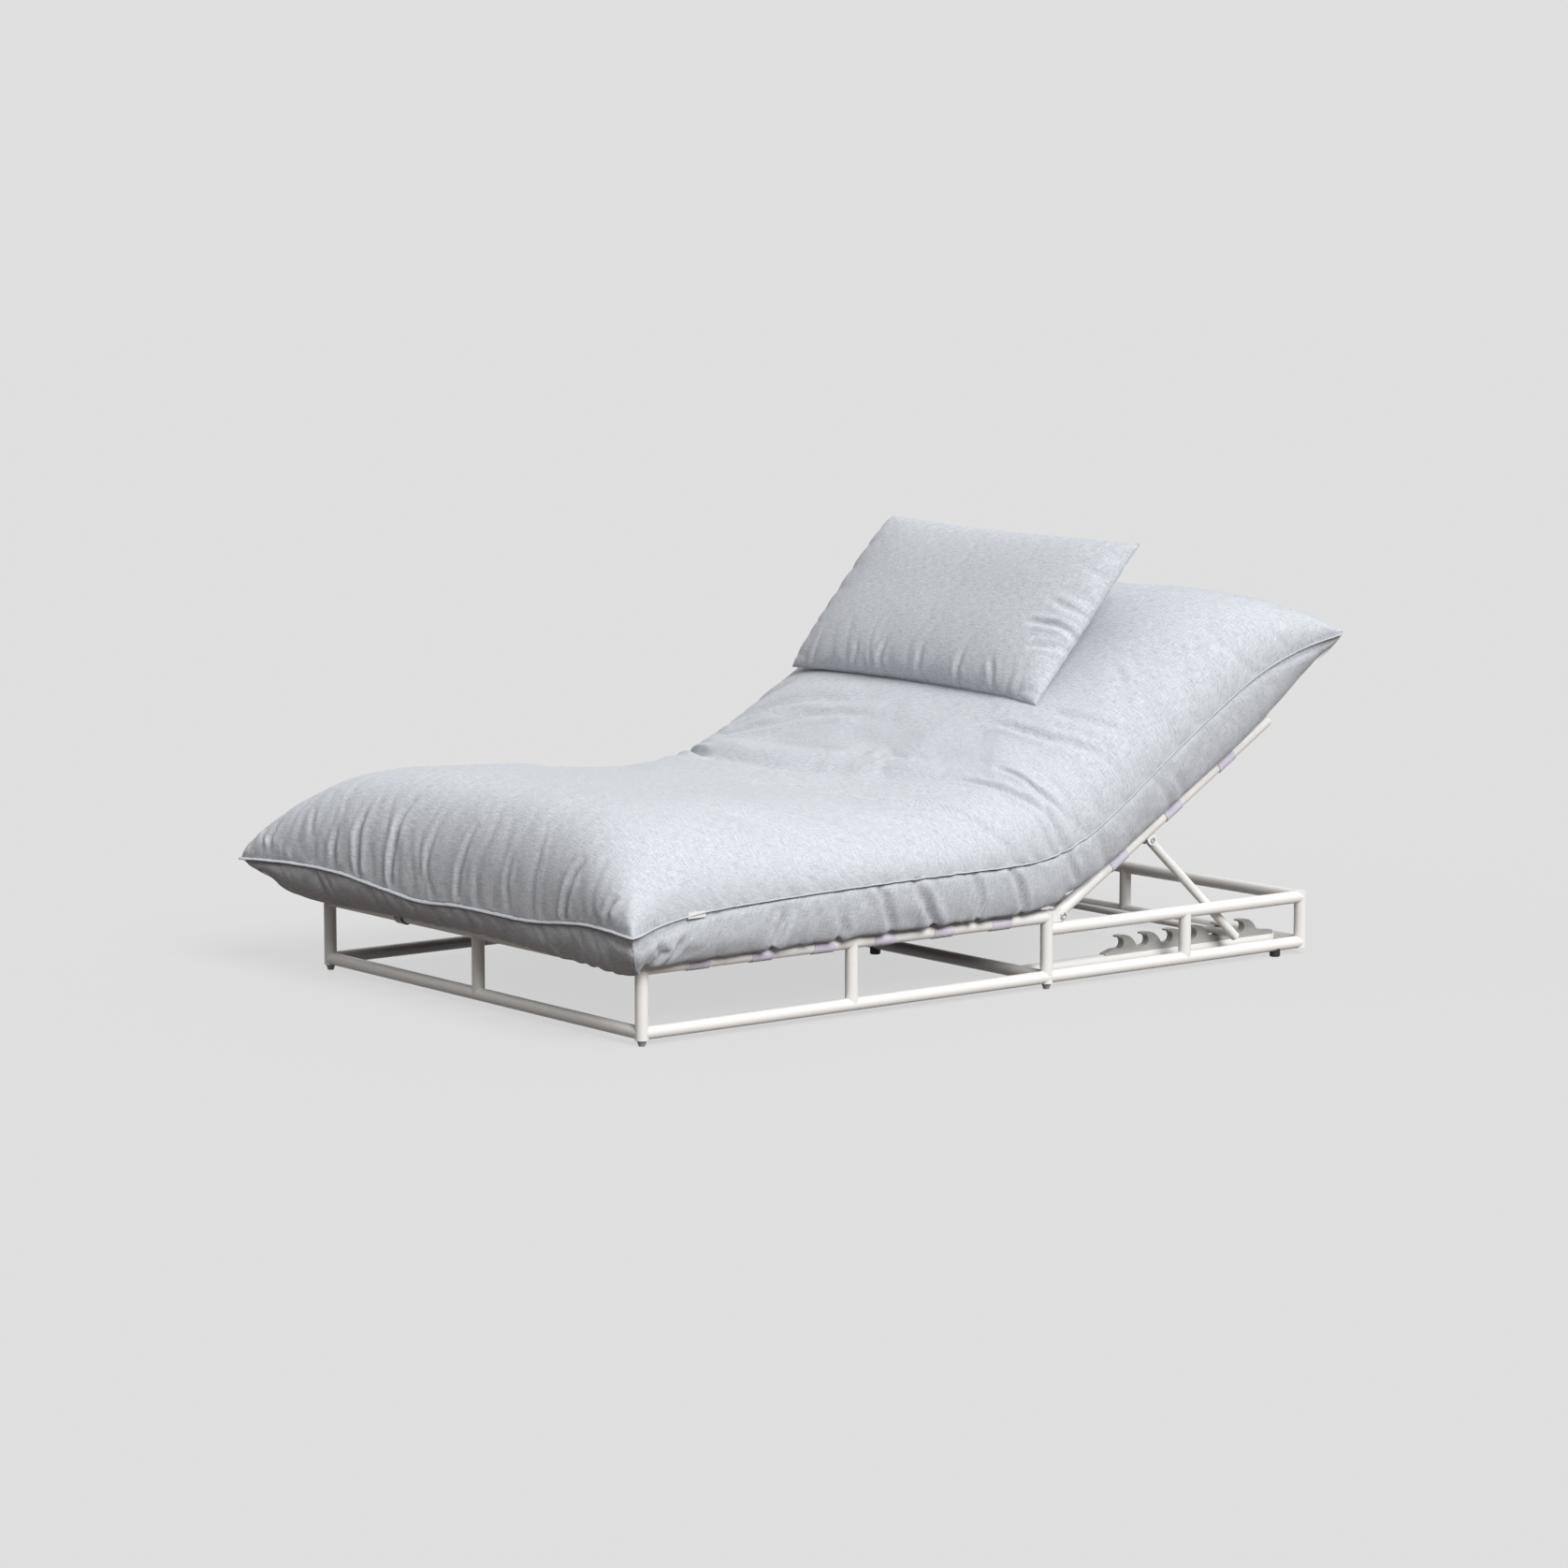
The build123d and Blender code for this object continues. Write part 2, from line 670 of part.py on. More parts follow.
# Webbing straps: a flat run, a turn round each side tube and a tail sewn back to the run
def strap_profile(plane, half_span):
    """Return a strap's outline round two tubes that lie half_span either side of the plane's origin."""
    inner = tube_radius + strap_gap
    outer = inner + strap_thickness
    turn = atan2(strap_tail_reach, inner) - atan2(inner, strap_tail_reach)
    touch = (inner * cos(turn), -inner * sin(turn))
    heel = (outer * cos(turn), -outer * sin(turn))
    join = half_span - strap_tail_reach
    crotch = join + strap_thickness / cos(turn)
    with BuildSketch(plane) as profile:
        with Locations((0, inner)):
            Rectangle(2 * half_span, strap_thickness, align=(Align.CENTER, Align.MIN))
        for sign in (-1, 1):
            with Locations((sign * half_span, 0)):
                Circle(outer)
            with BuildLine():
                Polyline(
                    (sign * join, outer), (sign * join, inner),
                    (sign * (half_span - heel[0]), heel[1]), (sign * half_span, 0), close=True,
                )
            make_face()
        for sign in (-1, 1):
            with Locations((sign * half_span, 0)):
                Circle(inner, mode=Mode.SUBTRACT)
            with BuildLine():
                Polyline(
                    (sign * crotch, inner), (sign * half_span, inner), (sign * half_span, 0),
                    (sign * (half_span - touch[0]), touch[1]), close=True,
                )
            make_face(mode=Mode.SUBTRACT)
    return profile.sketch


strap_run = seat_bay_length - first_seat_strap_setback - last_seat_strap_setback
seat_strap_pitch = strap_run / (seat_strap_count - 1)
with BuildPart() as seat_straps:
    for number in range(seat_strap_count):
        near_y = front_y + first_seat_strap_setback + number * seat_strap_pitch + strap_width / 2
        strap_plane = Plane(origin=(0, near_y, seat_z), x_dir=(1, 0, 0), z_dir=(0, -1, 0))
        extrude(strap_profile(strap_plane, side_x), amount=strap_width)
finish(seat_straps.part, "seat_straps")

with BuildPart() as back_straps:
    for number in range(back_strap_count):
        along = first_back_strap_setback + number * back_strap_pitch + strap_width / 2
        strap_plane = Plane(
            origin=on_back(0, along, 0), x_dir=(1, 0, 0), z_dir=(0, -cos(slope), -sin(slope))
        )
        extrude(strap_profile(strap_plane, back_tube_x), amount=strap_width)
finish(back_straps.part, "back_straps")

# The pad: one sewn piece on the real lounger, kept here as a seat part and a back part
strap_top = tube_radius + strap_gap + strap_thickness + soft_gap
base_half_share = 0.94
bulge_shares = (0.80, 0.40)
shoulder_shares = (0.80, 0.62)
shoulder_bulge_shares = (0.945, 0.40)

# Station along the pad, half width, seam height, crown height and underside height of each section
seat_section_shares = (
    (0.00, 1.065, 0.61, 0.24, 0.30),
    (0.045, 1.045, 0.74, 0.62, -0.12),
    (0.10, 1.028, 0.86, 0.88, -0.17),
    (0.17, 1.016, 0.94, 0.97, -0.12),
    (0.28, 1.007, 0.99, 1.00, -0.08),
    (0.40, 1.002, 1.00, 1.00, -0.06),
    (0.53, 1.000, 1.00, 1.00, -0.06),
    (0.66, 1.000, 1.00, 0.99, -0.06),
    (0.79, 1.000, 1.00, 0.97, -0.06),
    (0.92, 1.000, 1.00, 0.94, -0.06),
    (1.05, 1.000, 1.00, 0.91, -0.06),
)
back_section_shares = (
    (-0.06, 1.000, 0.84, 0.89, -0.05),
    (0.12, 1.000, 0.88, 0.91, -0.05),
    (0.28, 1.000, 0.93, 0.93, -0.05),
    (0.44, 1.000, 1.00, 0.935, -0.05),
    (0.60, 1.004, 1.03, 0.935, -0.05),
    (0.75, 1.012, 1.04, 0.97, -0.05),
    (0.87, 1.024, 0.95, 0.88, 0.07),
    (0.95, 1.046, 0.81, 0.64, 0.28),
    (1.00, 1.065, 0.71, 0.34, 0.60),
)


def pad_section(plane, half_width, seam, crown, underside):
    """Return one section of the pad: flat underside, knife seam at each side, high crown."""
    base = base_half_share * half_width
    bulge_x = base + bulge_shares[0] * (half_width - base)
    bulge_y = underside + bulge_shares[1] * (seam - underside)
    shoulder_x = shoulder_shares[0] * half_width
    shoulder_y = seam + shoulder_shares[1] * (crown - seam)
    over_x = shoulder_bulge_shares[0] * half_width
    over_y = seam + shoulder_bulge_shares[1] * (crown - seam)
    with BuildSketch(plane) as section:
        with BuildLine():
            Line((-base, underside), (base, underside))
            ThreePointArc((base, underside), (bulge_x, bulge_y), (half_width, seam))
            ThreePointArc((half_width, seam), (over_x, over_y), (shoulder_x, shoulder_y))
            ThreePointArc((shoulder_x, shoulder_y), (0, crown), (-shoulder_x, shoulder_y))
            ThreePointArc((-shoulder_x, shoulder_y), (-over_x, over_y), (-half_width, seam))
            ThreePointArc((-half_width, seam), (-bulge_x, bulge_y), (-base, underside))
        make_face()
    return section.sketch


full_raise = backrest_angle + raised_travel
bisector = 90 + full_raise / 2
seat_end = radians(bisector + bend_margin)
back_end = radians(bisector - raised_travel - bend_margin)
pin_point = (0, pin_y, pin_z)

# The foot end hangs down in front of the first rail, clear of the tie hook
seat_start_y = front_y - pad_foot_overhang
hook_inner = tube_radius + strap_gap
hook_outer = hook_inner + tie_hook_thickness
deck_start_y = front_y - hook_outer - soft_gap
with BuildPart() as mattress_seat:
    seat_sections = []
    for station, width, seam, crown, underside in seat_section_shares:
        y = seat_start_y + station * (pin_y - seat_start_y)
        seat_sections.append(
            pad_section(
                Plane(origin=(0, y, seat_z + strap_top), x_dir=(1, 0, 0), z_dir=(0, -1, 0)),
                width * pad_half_width, seam * pad_seam_height, crown * pad_crown_height,
                underside * pad_seam_height,
            )
        )
    loft(seat_sections)
    with Locations((0, deck_start_y, seat_z + strap_top)):
        Box(
            2 * frame_width, 2 * seat_bay_length, seat_z, align=(Align.CENTER, Align.MIN, Align.MAX),
            mode=Mode.SUBTRACT,
        )
    split(
        bisect_by=Plane(origin=pin_point, x_dir=(1, 0, 0), z_dir=(0, -sin(seat_end), cos(seat_end))),
        keep=Keep.TOP,
    )
finish(mattress_seat.part, "mattress_seat")

back_pad_length = backrest_length + pad_head_overhang
with BuildPart() as mattress_back:
    back_sections = []
    for station, width, seam, crown, underside in back_section_shares:
        section_plane = Plane(
            origin=on_back(0, station * back_pad_length, strap_top),
            x_dir=(1, 0, 0),
            z_dir=(0, -cos(slope), -sin(slope)),
        )
        back_sections.append(
            pad_section(
                section_plane, width * pad_half_width, seam * back_pad_seam_height,
                crown * back_pad_crown_height, underside * back_pad_seam_height,
            )
        )
    loft(back_sections)
    split(
        bisect_by=Plane(origin=on_back(0, 0, strap_top), x_dir=(1, 0, 0), z_dir=(0, -sin(slope), cos(slope))),
        keep=Keep.TOP,
    )
    split(
        bisect_by=Plane(origin=pin_point, x_dir=(1, 0, 0), z_dir=(0, sin(back_end), -cos(back_end))),
        keep=Keep.TOP,
    )
finish(mattress_back.part, "mattress_back")

# Pillow: two crowned faces that meet in a knife edge, leaning on the back of the pad
pillow_tilt = radians(backrest_angle + pillow_lean)
pillow_seat = strap_top + back_section_shares[4][3] * back_pad_crown_height
pillow_middle = Vector(
    *on_back(pillow_centre_x, pillow_centre_setback, pillow_seat + pillow_thickness / 2 + pillow_lift)
)
pillow_slope = Vector(0, cos(pillow_tilt), sin(pillow_tilt))
pillow_across = Vector(cos(radians(pillow_turn)), 0, 0) + pillow_slope * sin(radians(pillow_turn))
pillow_up = pillow_slope * cos(radians(pillow_turn)) - Vector(sin(radians(pillow_turn)), 0, 0)
pillow_section_shares = (
    (-0.50, 1.03, 0.05),
    (-0.44, 1.00, 0.50),
    (-0.28, 0.97, 0.90),
    (0.00, 0.96, 1.00),
    (0.28, 0.97, 0.90),
    (0.44, 1.00, 0.50),
    (0.50, 1.03, 0.05),
)
with BuildPart() as pillow:
    for station, height, thickness in pillow_section_shares:
        section_plane = Plane(
            origin=pillow_middle + pillow_across * (station * pillow_width),
            x_dir=pillow_up,
            z_dir=pillow_across,
        )
        with BuildSketch(section_plane):
            half = height * pillow_height / 2
            rise = thickness * pillow_thickness / 2
            with BuildLine():
                ThreePointArc((-half, 0), (0, rise), (half, 0))
                ThreePointArc((half, 0), (0, -rise), (-half, 0))
            make_face()
    loft()
finish(pillow.part, "pillow")

# Blank fabric tag sewn into the side seam near the foot end, in line with the seam
before, (_, tag_width_share, tag_seam_share, _, _), after = seat_section_shares[2:5]
seam_run = (after[0] - before[0]) * (pin_y - seat_start_y)
seam_draw = (before[1] - after[1]) * pad_half_width
tag_x = tag_width_share * pad_half_width + tag_stand_off + tag_thickness / 2
tag_z = seat_z + strap_top + tag_seam_share * pad_seam_height
tag_place = (tag_x, front_y + tag_setback, tag_z - tag_height / 2)
with BuildPart() as mattress_tag:
    with Locations(Location(tag_place, (0, 0, degrees(atan2(seam_draw, seam_run))))):
        Box(tag_thickness, tag_length, tag_height)
finish(mattress_tag.part, "mattress_tag")

# Tie hook that holds the pad down on the front seat rail
with BuildPart() as tie_hook:
    with BuildSketch(
        Plane(origin=(tie_hook_x - tie_hook_width / 2, front_y, seat_z), x_dir=(0, 1, 0), z_dir=(1, 0, 0))
    ):
        Circle(hook_outer)
        Circle(hook_inner, mode=Mode.SUBTRACT)
        with Locations((0, 0)):
            Rectangle(2 * hook_outer, hook_outer, align=(Align.MIN, Align.MIN), mode=Mode.SUBTRACT)
        with Locations((-hook_outer, tube_radius)):
            Rectangle(2 * hook_outer, hook_outer, align=(Align.MIN, Align.MIN), mode=Mode.SUBTRACT)
        with Locations((hook_inner, 0)):
            Rectangle(tie_hook_thickness, tie_hook_lip, align=Align.MIN)
    extrude(amount=tie_hook_width)
finish(tie_hook.part, "tie_hook")
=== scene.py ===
import json
import math

import bmesh
import bpy
import numpy as np
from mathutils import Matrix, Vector


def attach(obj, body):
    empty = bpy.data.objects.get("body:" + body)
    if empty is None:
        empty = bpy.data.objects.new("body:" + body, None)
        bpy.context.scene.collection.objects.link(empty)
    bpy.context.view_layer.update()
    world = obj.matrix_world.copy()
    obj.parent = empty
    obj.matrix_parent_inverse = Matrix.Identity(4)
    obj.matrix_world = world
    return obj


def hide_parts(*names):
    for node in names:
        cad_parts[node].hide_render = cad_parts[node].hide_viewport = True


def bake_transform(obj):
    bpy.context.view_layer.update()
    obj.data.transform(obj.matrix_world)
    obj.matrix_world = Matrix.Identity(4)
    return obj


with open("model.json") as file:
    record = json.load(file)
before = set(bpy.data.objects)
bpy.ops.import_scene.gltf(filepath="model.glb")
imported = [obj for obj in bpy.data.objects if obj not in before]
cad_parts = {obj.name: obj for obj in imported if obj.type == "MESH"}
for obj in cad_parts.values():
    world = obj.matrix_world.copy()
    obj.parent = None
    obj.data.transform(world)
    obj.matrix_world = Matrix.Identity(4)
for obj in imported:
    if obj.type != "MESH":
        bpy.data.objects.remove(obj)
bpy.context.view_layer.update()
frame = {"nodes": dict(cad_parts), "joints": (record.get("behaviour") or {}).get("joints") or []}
nodes = frame["nodes"]


# Tube frame. Every tube is round steel with a warm white powder coat, baked on after welding, so
# it has the fine orange-peel skin of such paint and is a little greyer where hands and feet rub.
class Wire:
    """A shader socket that takes part in Python sums."""

    def __init__(self, tree, socket):
        self.tree = tree
        self.socket = socket

    def math(self, operation, *values, clamp=False):
        node = self.tree.nodes.new("ShaderNodeMath")
        node.operation = operation
        node.use_clamp = clamp
        for place, value in enumerate(values):
            if isinstance(value, Wire):
                self.tree.links.new(value.socket, node.inputs[place])
            else:
                node.inputs[place].default_value = value
        return Wire(self.tree, node.outputs[0])

    def __add__(self, other):
        return self.math("ADD", self, other)

    def __radd__(self, other):
        return self.math("ADD", other, self)

    def __sub__(self, other):
        return self.math("SUBTRACT", self, other)

    def __rsub__(self, other):
        return self.math("SUBTRACT", other, self)

    def __mul__(self, other):
        return self.math("MULTIPLY", self, other)

    def __rmul__(self, other):
        return self.math("MULTIPLY", other, self)

    def above(self, low, high):
        """0 below low, 1 above high, even in between."""
        return self.math("MULTIPLY_ADD", self, 1 / (high - low), -low / (high - low), clamp=True)


class Finish:
    """A material for one finish, with a node added for each call."""

    def __init__(self, name):
        self.material = bpy.data.materials.new(name)
        self.material.use_nodes = True
        self.tree = self.material.node_tree
        self.surface = self.tree.nodes["Principled BSDF"]

    def node(self, kind, output=0, settings=None, **inputs):
        """A node of any other kind. An input is named, or in0, in1 and so on by its number."""
        made = self.tree.nodes.new(kind)
        for key, value in (settings or {}).items():
            setattr(made, key, value)
        for key, value in inputs.items():
            socket = made.inputs[int(key[2:]) if key.startswith("in") and key[2:].isdigit() else key]
            if isinstance(value, Wire):
                self.tree.links.new(value.socket, socket)
            else:
                socket.default_value = value
        return Wire(self.tree, made.outputs[output])

    def place(self, kind="Object"):
        return self.node("ShaderNodeTexCoord", output=kind)

    def stretch(self, vector, scale, turn=(0, 0, 0)):
        return self.node("ShaderNodeMapping", Vector=vector, Scale=scale, Rotation=turn)

    def noise(self, vector, scale, detail=2.0, rough=0.5):
        return self.node("ShaderNodeTexNoise", Vector=vector, Scale=scale, Detail=detail, Roughness=rough)

    def mix(self, share, first, second):
        settings = {"data_type": "RGBA"}
        return self.node("ShaderNodeMix", output=2, settings=settings, in0=share, in6=first, in7=second)

    def bump(self, height, distance, strength=1.0, normal=None):
        inputs = {"Height": height, "Distance": distance, "Strength": strength}
        if normal is not None:
            inputs["Normal"] = normal
        return self.node("ShaderNodeBump", **inputs)

    def feed(self, **inputs):
        for key, value in inputs.items():
            socket = self.surface.inputs[key.replace("_", " ")]
            if isinstance(value, Wire):
                self.tree.links.new(value.socket, socket)
            else:
                socket.default_value = value

    def wear_on(self, *objects):
        for piece in objects:
            piece.data.materials.clear()
            piece.data.materials.append(self.material)


powder_white = (0.88, 0.868, 0.845, 1)
powder_rubbed = (0.78, 0.765, 0.74, 1)
powder = Finish("white_powder_coat")
spot = powder.place()
peel = powder.noise(spot, 900.0, detail=1.0)
cloud = powder.noise(spot, 3.5, detail=4.0, rough=0.6)
scuff = powder.noise(powder.stretch(spot, (30, 30, 90)), 1.0, detail=5.0, rough=0.7)
rubbed = scuff.above(0.56, 0.80) * 0.5 + cloud.above(0.45, 0.75) * 0.25
powder.feed(
    Base_Color=powder.mix(rubbed, powder_white, powder_rubbed),
    Roughness=0.36 + cloud * 0.10,
    Normal=powder.bump(peel, 0.00006),
)
powder.surface.inputs["Coat Weight"].default_value = 0.15
powder.surface.inputs["Coat Roughness"].default_value = 0.25
tube_endings = ("_rail", "_post", "_back_tube", "_leg", "_plate", "_bracket")
frame_nodes = [name for name in nodes if name.endswith(tube_endings)]
frame_nodes += ["back_bottom_tube", "back_top_tube", "prop_bar"]
powder.wear_on(*(nodes[name] for name in frame_nodes))


# Ratchet racks. Each is one strip of grey glass-filled plastic, moulded with a fine matt grain that
# shows a little glassy flow as darker streaks.
rack_grey = (0.56, 0.555, 0.54, 1)
rack_dark = (0.43, 0.425, 0.41, 1)
rack_plastic = Finish("grey_moulded_plastic")
spot = rack_plastic.place()
grain = rack_plastic.noise(spot, 1400.0, detail=2.0)
flow = rack_plastic.noise(rack_plastic.stretch(spot, (20, 8, 40)), 1.0, detail=4.0)
rack_plastic.feed(
    Base_Color=rack_plastic.mix(flow.above(0.40, 0.72), rack_grey, rack_dark),
    Roughness=0.42 + grain * 0.12,
    Normal=rack_plastic.bump(grain, 0.00008),
)
rack_plastic.wear_on(nodes["left_rack"], nodes["right_rack"])


# Feet. The glides under the front and hinge posts are grey nylon, turned to a taper and pushed into
# the post by a stud. The round feet at the rear and in the middle are black rubber, held by a screw.
glide_grey = (0.33, 0.33, 0.32, 1)
glide_scuffed = (0.22, 0.21, 0.20, 1)
nylon = Finish("grey_nylon")
spot = nylon.place()
scratch = nylon.noise(nylon.stretch(spot, (60, 60, 900)), 1.0, detail=3.0)
nylon.feed(
    Base_Color=nylon.mix(scratch.above(0.48, 0.78), glide_grey, glide_scuffed),
    Roughness=0.38 + scratch * 0.2,
    Normal=nylon.bump(scratch, 0.00005),
)
nylon.wear_on(nodes["foot_glides"], nodes["glide_inserts"])

rubber_black = (0.018, 0.018, 0.019, 1)
rubber_dusty = (0.07, 0.066, 0.06, 1)
rubber = Finish("black_rubber")
spot = rubber.place()
dust = rubber.noise(spot, 160.0, detail=5.0, rough=0.7)
rubber.feed(
    Base_Color=rubber.mix(dust.above(0.50, 0.80), rubber_black, rubber_dusty),
    Roughness=0.62 + dust * 0.25,
    Normal=rubber.bump(dust, 0.0001),
)
rubber.wear_on(nodes["rear_feet"], nodes["centre_foot"])


# Fasteners. Bolts, nuts, washers, sleeves and screws are bright zinc-plated steel with faint lines
# from turning.
zinc_light = (0.66, 0.66, 0.67, 1)
zinc_dull = (0.42, 0.42, 0.43, 1)
zinc = Finish("zinc_plated_steel")
spot = zinc.place()
turning = zinc.noise(zinc.stretch(spot, (900, 60, 60)), 1.0, detail=3.0)
plating = zinc.noise(spot, 260.0, detail=4.0)
zinc.feed(
    Base_Color=zinc.mix(plating.above(0.42, 0.72), zinc_light, zinc_dull),
    Metallic=1.0,
    Roughness=0.26 + turning * 0.2,
    Normal=zinc.bump(turning, 0.00003),
)
zinc.wear_on(*(
    nodes[name] for name in (
        "hinge_bolts", "hinge_nuts", "hinge_washers", "hinge_sleeves", "prop_bolts", "prop_nuts",
        "rack_screws", "foot_screws",
    )
))


# Straps. Elastic webbing 58 mm wide in pale lavender, woven with a rib along each strap and sewn
# back on itself round the side tubes.
webbing_light = (0.78, 0.75, 0.85, 1)
webbing_dark = (0.63, 0.60, 0.72, 1)
webbing = Finish("lavender_webbing")
spot = webbing.place()
ribs = webbing.node(
    "ShaderNodeTexWave", settings={"bands_direction": "Y"},
    Vector=spot, Scale=130.0, Distortion=0.6, Detail=1.0,
)
picks = webbing.node(
    "ShaderNodeTexWave", settings={"bands_direction": "X"},
    Vector=spot, Scale=210.0, Distortion=0.4, Detail=1.0,
)
yarn = webbing.noise(spot, 420.0, detail=3.0)
webbing.feed(
    Base_Color=webbing.mix(ribs * 0.35 + yarn * 0.45, webbing_light, webbing_dark),
    Roughness=0.80 + yarn * 0.12,
    Normal=webbing.bump(ribs * 0.6 + picks * 0.4, 0.0004),
)
webbing.surface.inputs["Sheen Weight"].default_value = 0.15
webbing.wear_on(nodes["seat_straps"], nodes["back_straps"])


# The pad. One sewn case of pale blue-grey heather cloth, filled with soft fibre: a top panel and a
# lower panel meet in a seam all round, and the case bends where the backrest hinges. The corners
# stand out as ears, and the cloth gathers along the seam.
hinge = Vector(frame["joints"][0]["pos_m"])
recline = math.radians(31.3)
deck_rise = 0.0175
deck_level = hinge.z + deck_rise
# Places along the pad are measured on the deck from the hinge, towards the head
foot_tip = -1.335
head_tip = 0.995
bend_reach = 0.24
flat_half_width = 0.80
flat_length = 2.60


def drawn(points):
    """A smooth curve through (place, value) points, as a function of place."""
    places = np.array([p for p, _ in points])
    values = np.array([v for _, v in points])
    steps = np.diff(values) / np.diff(places)
    slopes = np.concatenate([steps[:1], (steps[:-1] + steps[1:]) / 2, steps[-1:]])
    for k in range(1, len(slopes) - 1):
        if steps[k - 1] * steps[k] <= 0:
            slopes[k] = 0

    def value(place):
        at = np.clip(place, places[0], places[-1])
        k = np.clip(np.searchsorted(places, at) - 1, 0, len(places) - 2)
        span = places[k + 1] - places[k]
        t = (at - places[k]) / span
        return (
            values[k] * (2 * t**3 - 3 * t**2 + 1)
            + slopes[k] * span * (t**3 - 2 * t**2 + t)
            + values[k + 1] * (3 * t**2 - 2 * t**3)
            + slopes[k + 1] * span * (t**3 - t**2)
        )

    return value


def soft_step(t):
    t = np.clip(t, 0, 1)
    return t * t * (3 - 2 * t)


# The deck line under the pad: flat over the seat, a smooth turn, then up the backrest, where it lies
# on the straps again
path_at = np.linspace(-1.6, 1.4, 3001)
path_angle = recline * soft_step((path_at + bend_reach) / (2 * bend_reach))
stride = path_at[1] - path_at[0]
path_y = np.concatenate([[0], np.cumsum(np.cos((path_angle[1:] + path_angle[:-1]) / 2) * stride)])
path_z = np.concatenate([[0], np.cumsum(np.sin((path_angle[1:] + path_angle[:-1]) / 2) * stride)])
path_y += hinge.y - np.interp(0, path_at, path_y)
path_z += deck_level - path_z[0]
off_back = (
    -(path_y[-1] - hinge.y) * math.sin(recline) + (path_z[-1] - hinge.z) * math.cos(recline) - deck_rise
)
path_y += off_back / math.sin(recline)

# Half the width, the height of the side seam and of the crown above the deck, and how square the top's
# section is, by place along the pad
half_width = drawn([
    (-1.36, 0.758), (-1.30, 0.734), (-1.22, 0.711), (-1.10, 0.702), (-0.90, 0.695), (-0.50, 0.690),
    (0.00, 0.688), (0.40, 0.690), (0.70, 0.698), (0.85, 0.708), (0.93, 0.720), (1.00, 0.737),
])
side_seam = drawn([
    (-1.36, 0.084), (-1.28, 0.090), (-1.15, 0.103), (-0.90, 0.113), (-0.50, 0.121), (-0.10, 0.124),
    (0.20, 0.128), (0.45, 0.142), (0.70, 0.150), (0.85, 0.135), (1.00, 0.098),
])
crown_rise = drawn([
    (-1.36, 0.343), (-1.10, 0.328), (-0.85, 0.317), (-0.60, 0.287), (-0.35, 0.280), (-0.15, 0.320),
    (0.05, 0.352), (0.20, 0.353), (0.55, 0.350), (0.95, 0.368),
])
side_fullness = drawn([(-1.36, 3.6), (-0.50, 3.35), (-0.10, 4.1), (0.95, 4.4)])
# How far the foot seam dips and the lower panel hangs below the deck, by share of the half width
foot_seam_drop = drawn([
    (-1.0, -0.001), (-0.95, -0.003), (-0.75, -0.008), (-0.55, -0.004), (-0.30, 0.018), (-0.10, 0.032),
    (0.10, 0.026), (0.40, 0.028), (0.80, 0.007), (1.0, 0.013),
])
foot_belly = drawn([
    (-1.0, 0.012), (-0.60, 0.020), (-0.30, 0.022), (0.20, 0.036), (0.60, 0.060), (1.0, 0.064),
])
usual_half_width = 0.69
usual_top_rise = 0.225
usual_under_rise = 0.115
# How square a section is: the higher, the longer it stays full before it falls to the seam
top_fullness = 3.6
top_fall = 0.43
under_fullness = 34
head_fullness = 1.9
foot_under_fullness = 2.4
middle_fullness = 1.5
corner_loss = 27


def top_swell(share, fullness=top_fullness):
    """The top panel's rise, as a share, at a share of the way from the middle to the seam."""
    return np.maximum(1 - share**fullness, 0) ** top_fall


def under_swell(share, fullness=under_fullness):
    """The lower panel's drop, as a share: flat on the deck and round at the seam."""
    return np.sqrt(np.maximum(1 - share**fullness, 0))


def evenly(swell, half, rise):
    """Shares of the half width that stand evenly along the curved section, from -1 to 1."""
    angle = np.linspace(0, math.pi / 2, 4001)
    share = np.sin(angle)
    height = swell(share) * rise
    run = np.concatenate([[0], np.cumsum(np.hypot(np.diff(share) * half, np.diff(height)))])

    def shares(place):
        return np.sign(place) * np.interp(np.abs(place) * run[-1], run, share)

    return shares


top_spread = evenly(top_swell, usual_half_width, usual_top_rise)
under_spread = evenly(under_swell, usual_half_width, usual_under_rise)
foot_slope = 0.363
head_slope = 0.36
foot_underturn = 0.13
head_underturn = 0.42


def ends_of_top(from_foot, from_head, fullness=top_fullness):
    """How far the top panel has risen, as a share, at a distance from the foot and the head seam."""
    foot_share = np.clip(1 - from_foot / foot_slope, 0, 1)
    head_share = np.clip(1 - from_head / head_slope, 0, 1)
    return top_swell(foot_share, fullness) * top_swell(head_share, head_fullness)


def ends_of_underside(from_foot, from_head):
    """How far the lower panel has dropped, as a share, at a distance from either end seam."""
    foot_share = np.clip(1 - from_foot / foot_underturn, 0, 1)
    head_share = np.clip(1 - from_head / head_underturn, 0, 1)
    foot_end = np.sqrt(np.maximum(1 - foot_share**foot_under_fullness, 0))
    return foot_end * np.sqrt(np.maximum(1 - head_share**2, 0))


def evenly_along(ends, rise):
    """Places from -1 to 1 along the pad that stand evenly on its curved profile."""
    share = (1 - np.cos(np.linspace(0, math.pi, 8001))) / 2
    length = head_tip - foot_tip
    height = ends(share * length, (1 - share) * length) * rise
    run = np.concatenate([[0], np.cumsum(np.hypot(np.diff(share) * length, np.diff(height)))])

    def places(place):
        return 2 * np.interp((place + 1) / 2 * run[-1], run, share) - 1

    return places


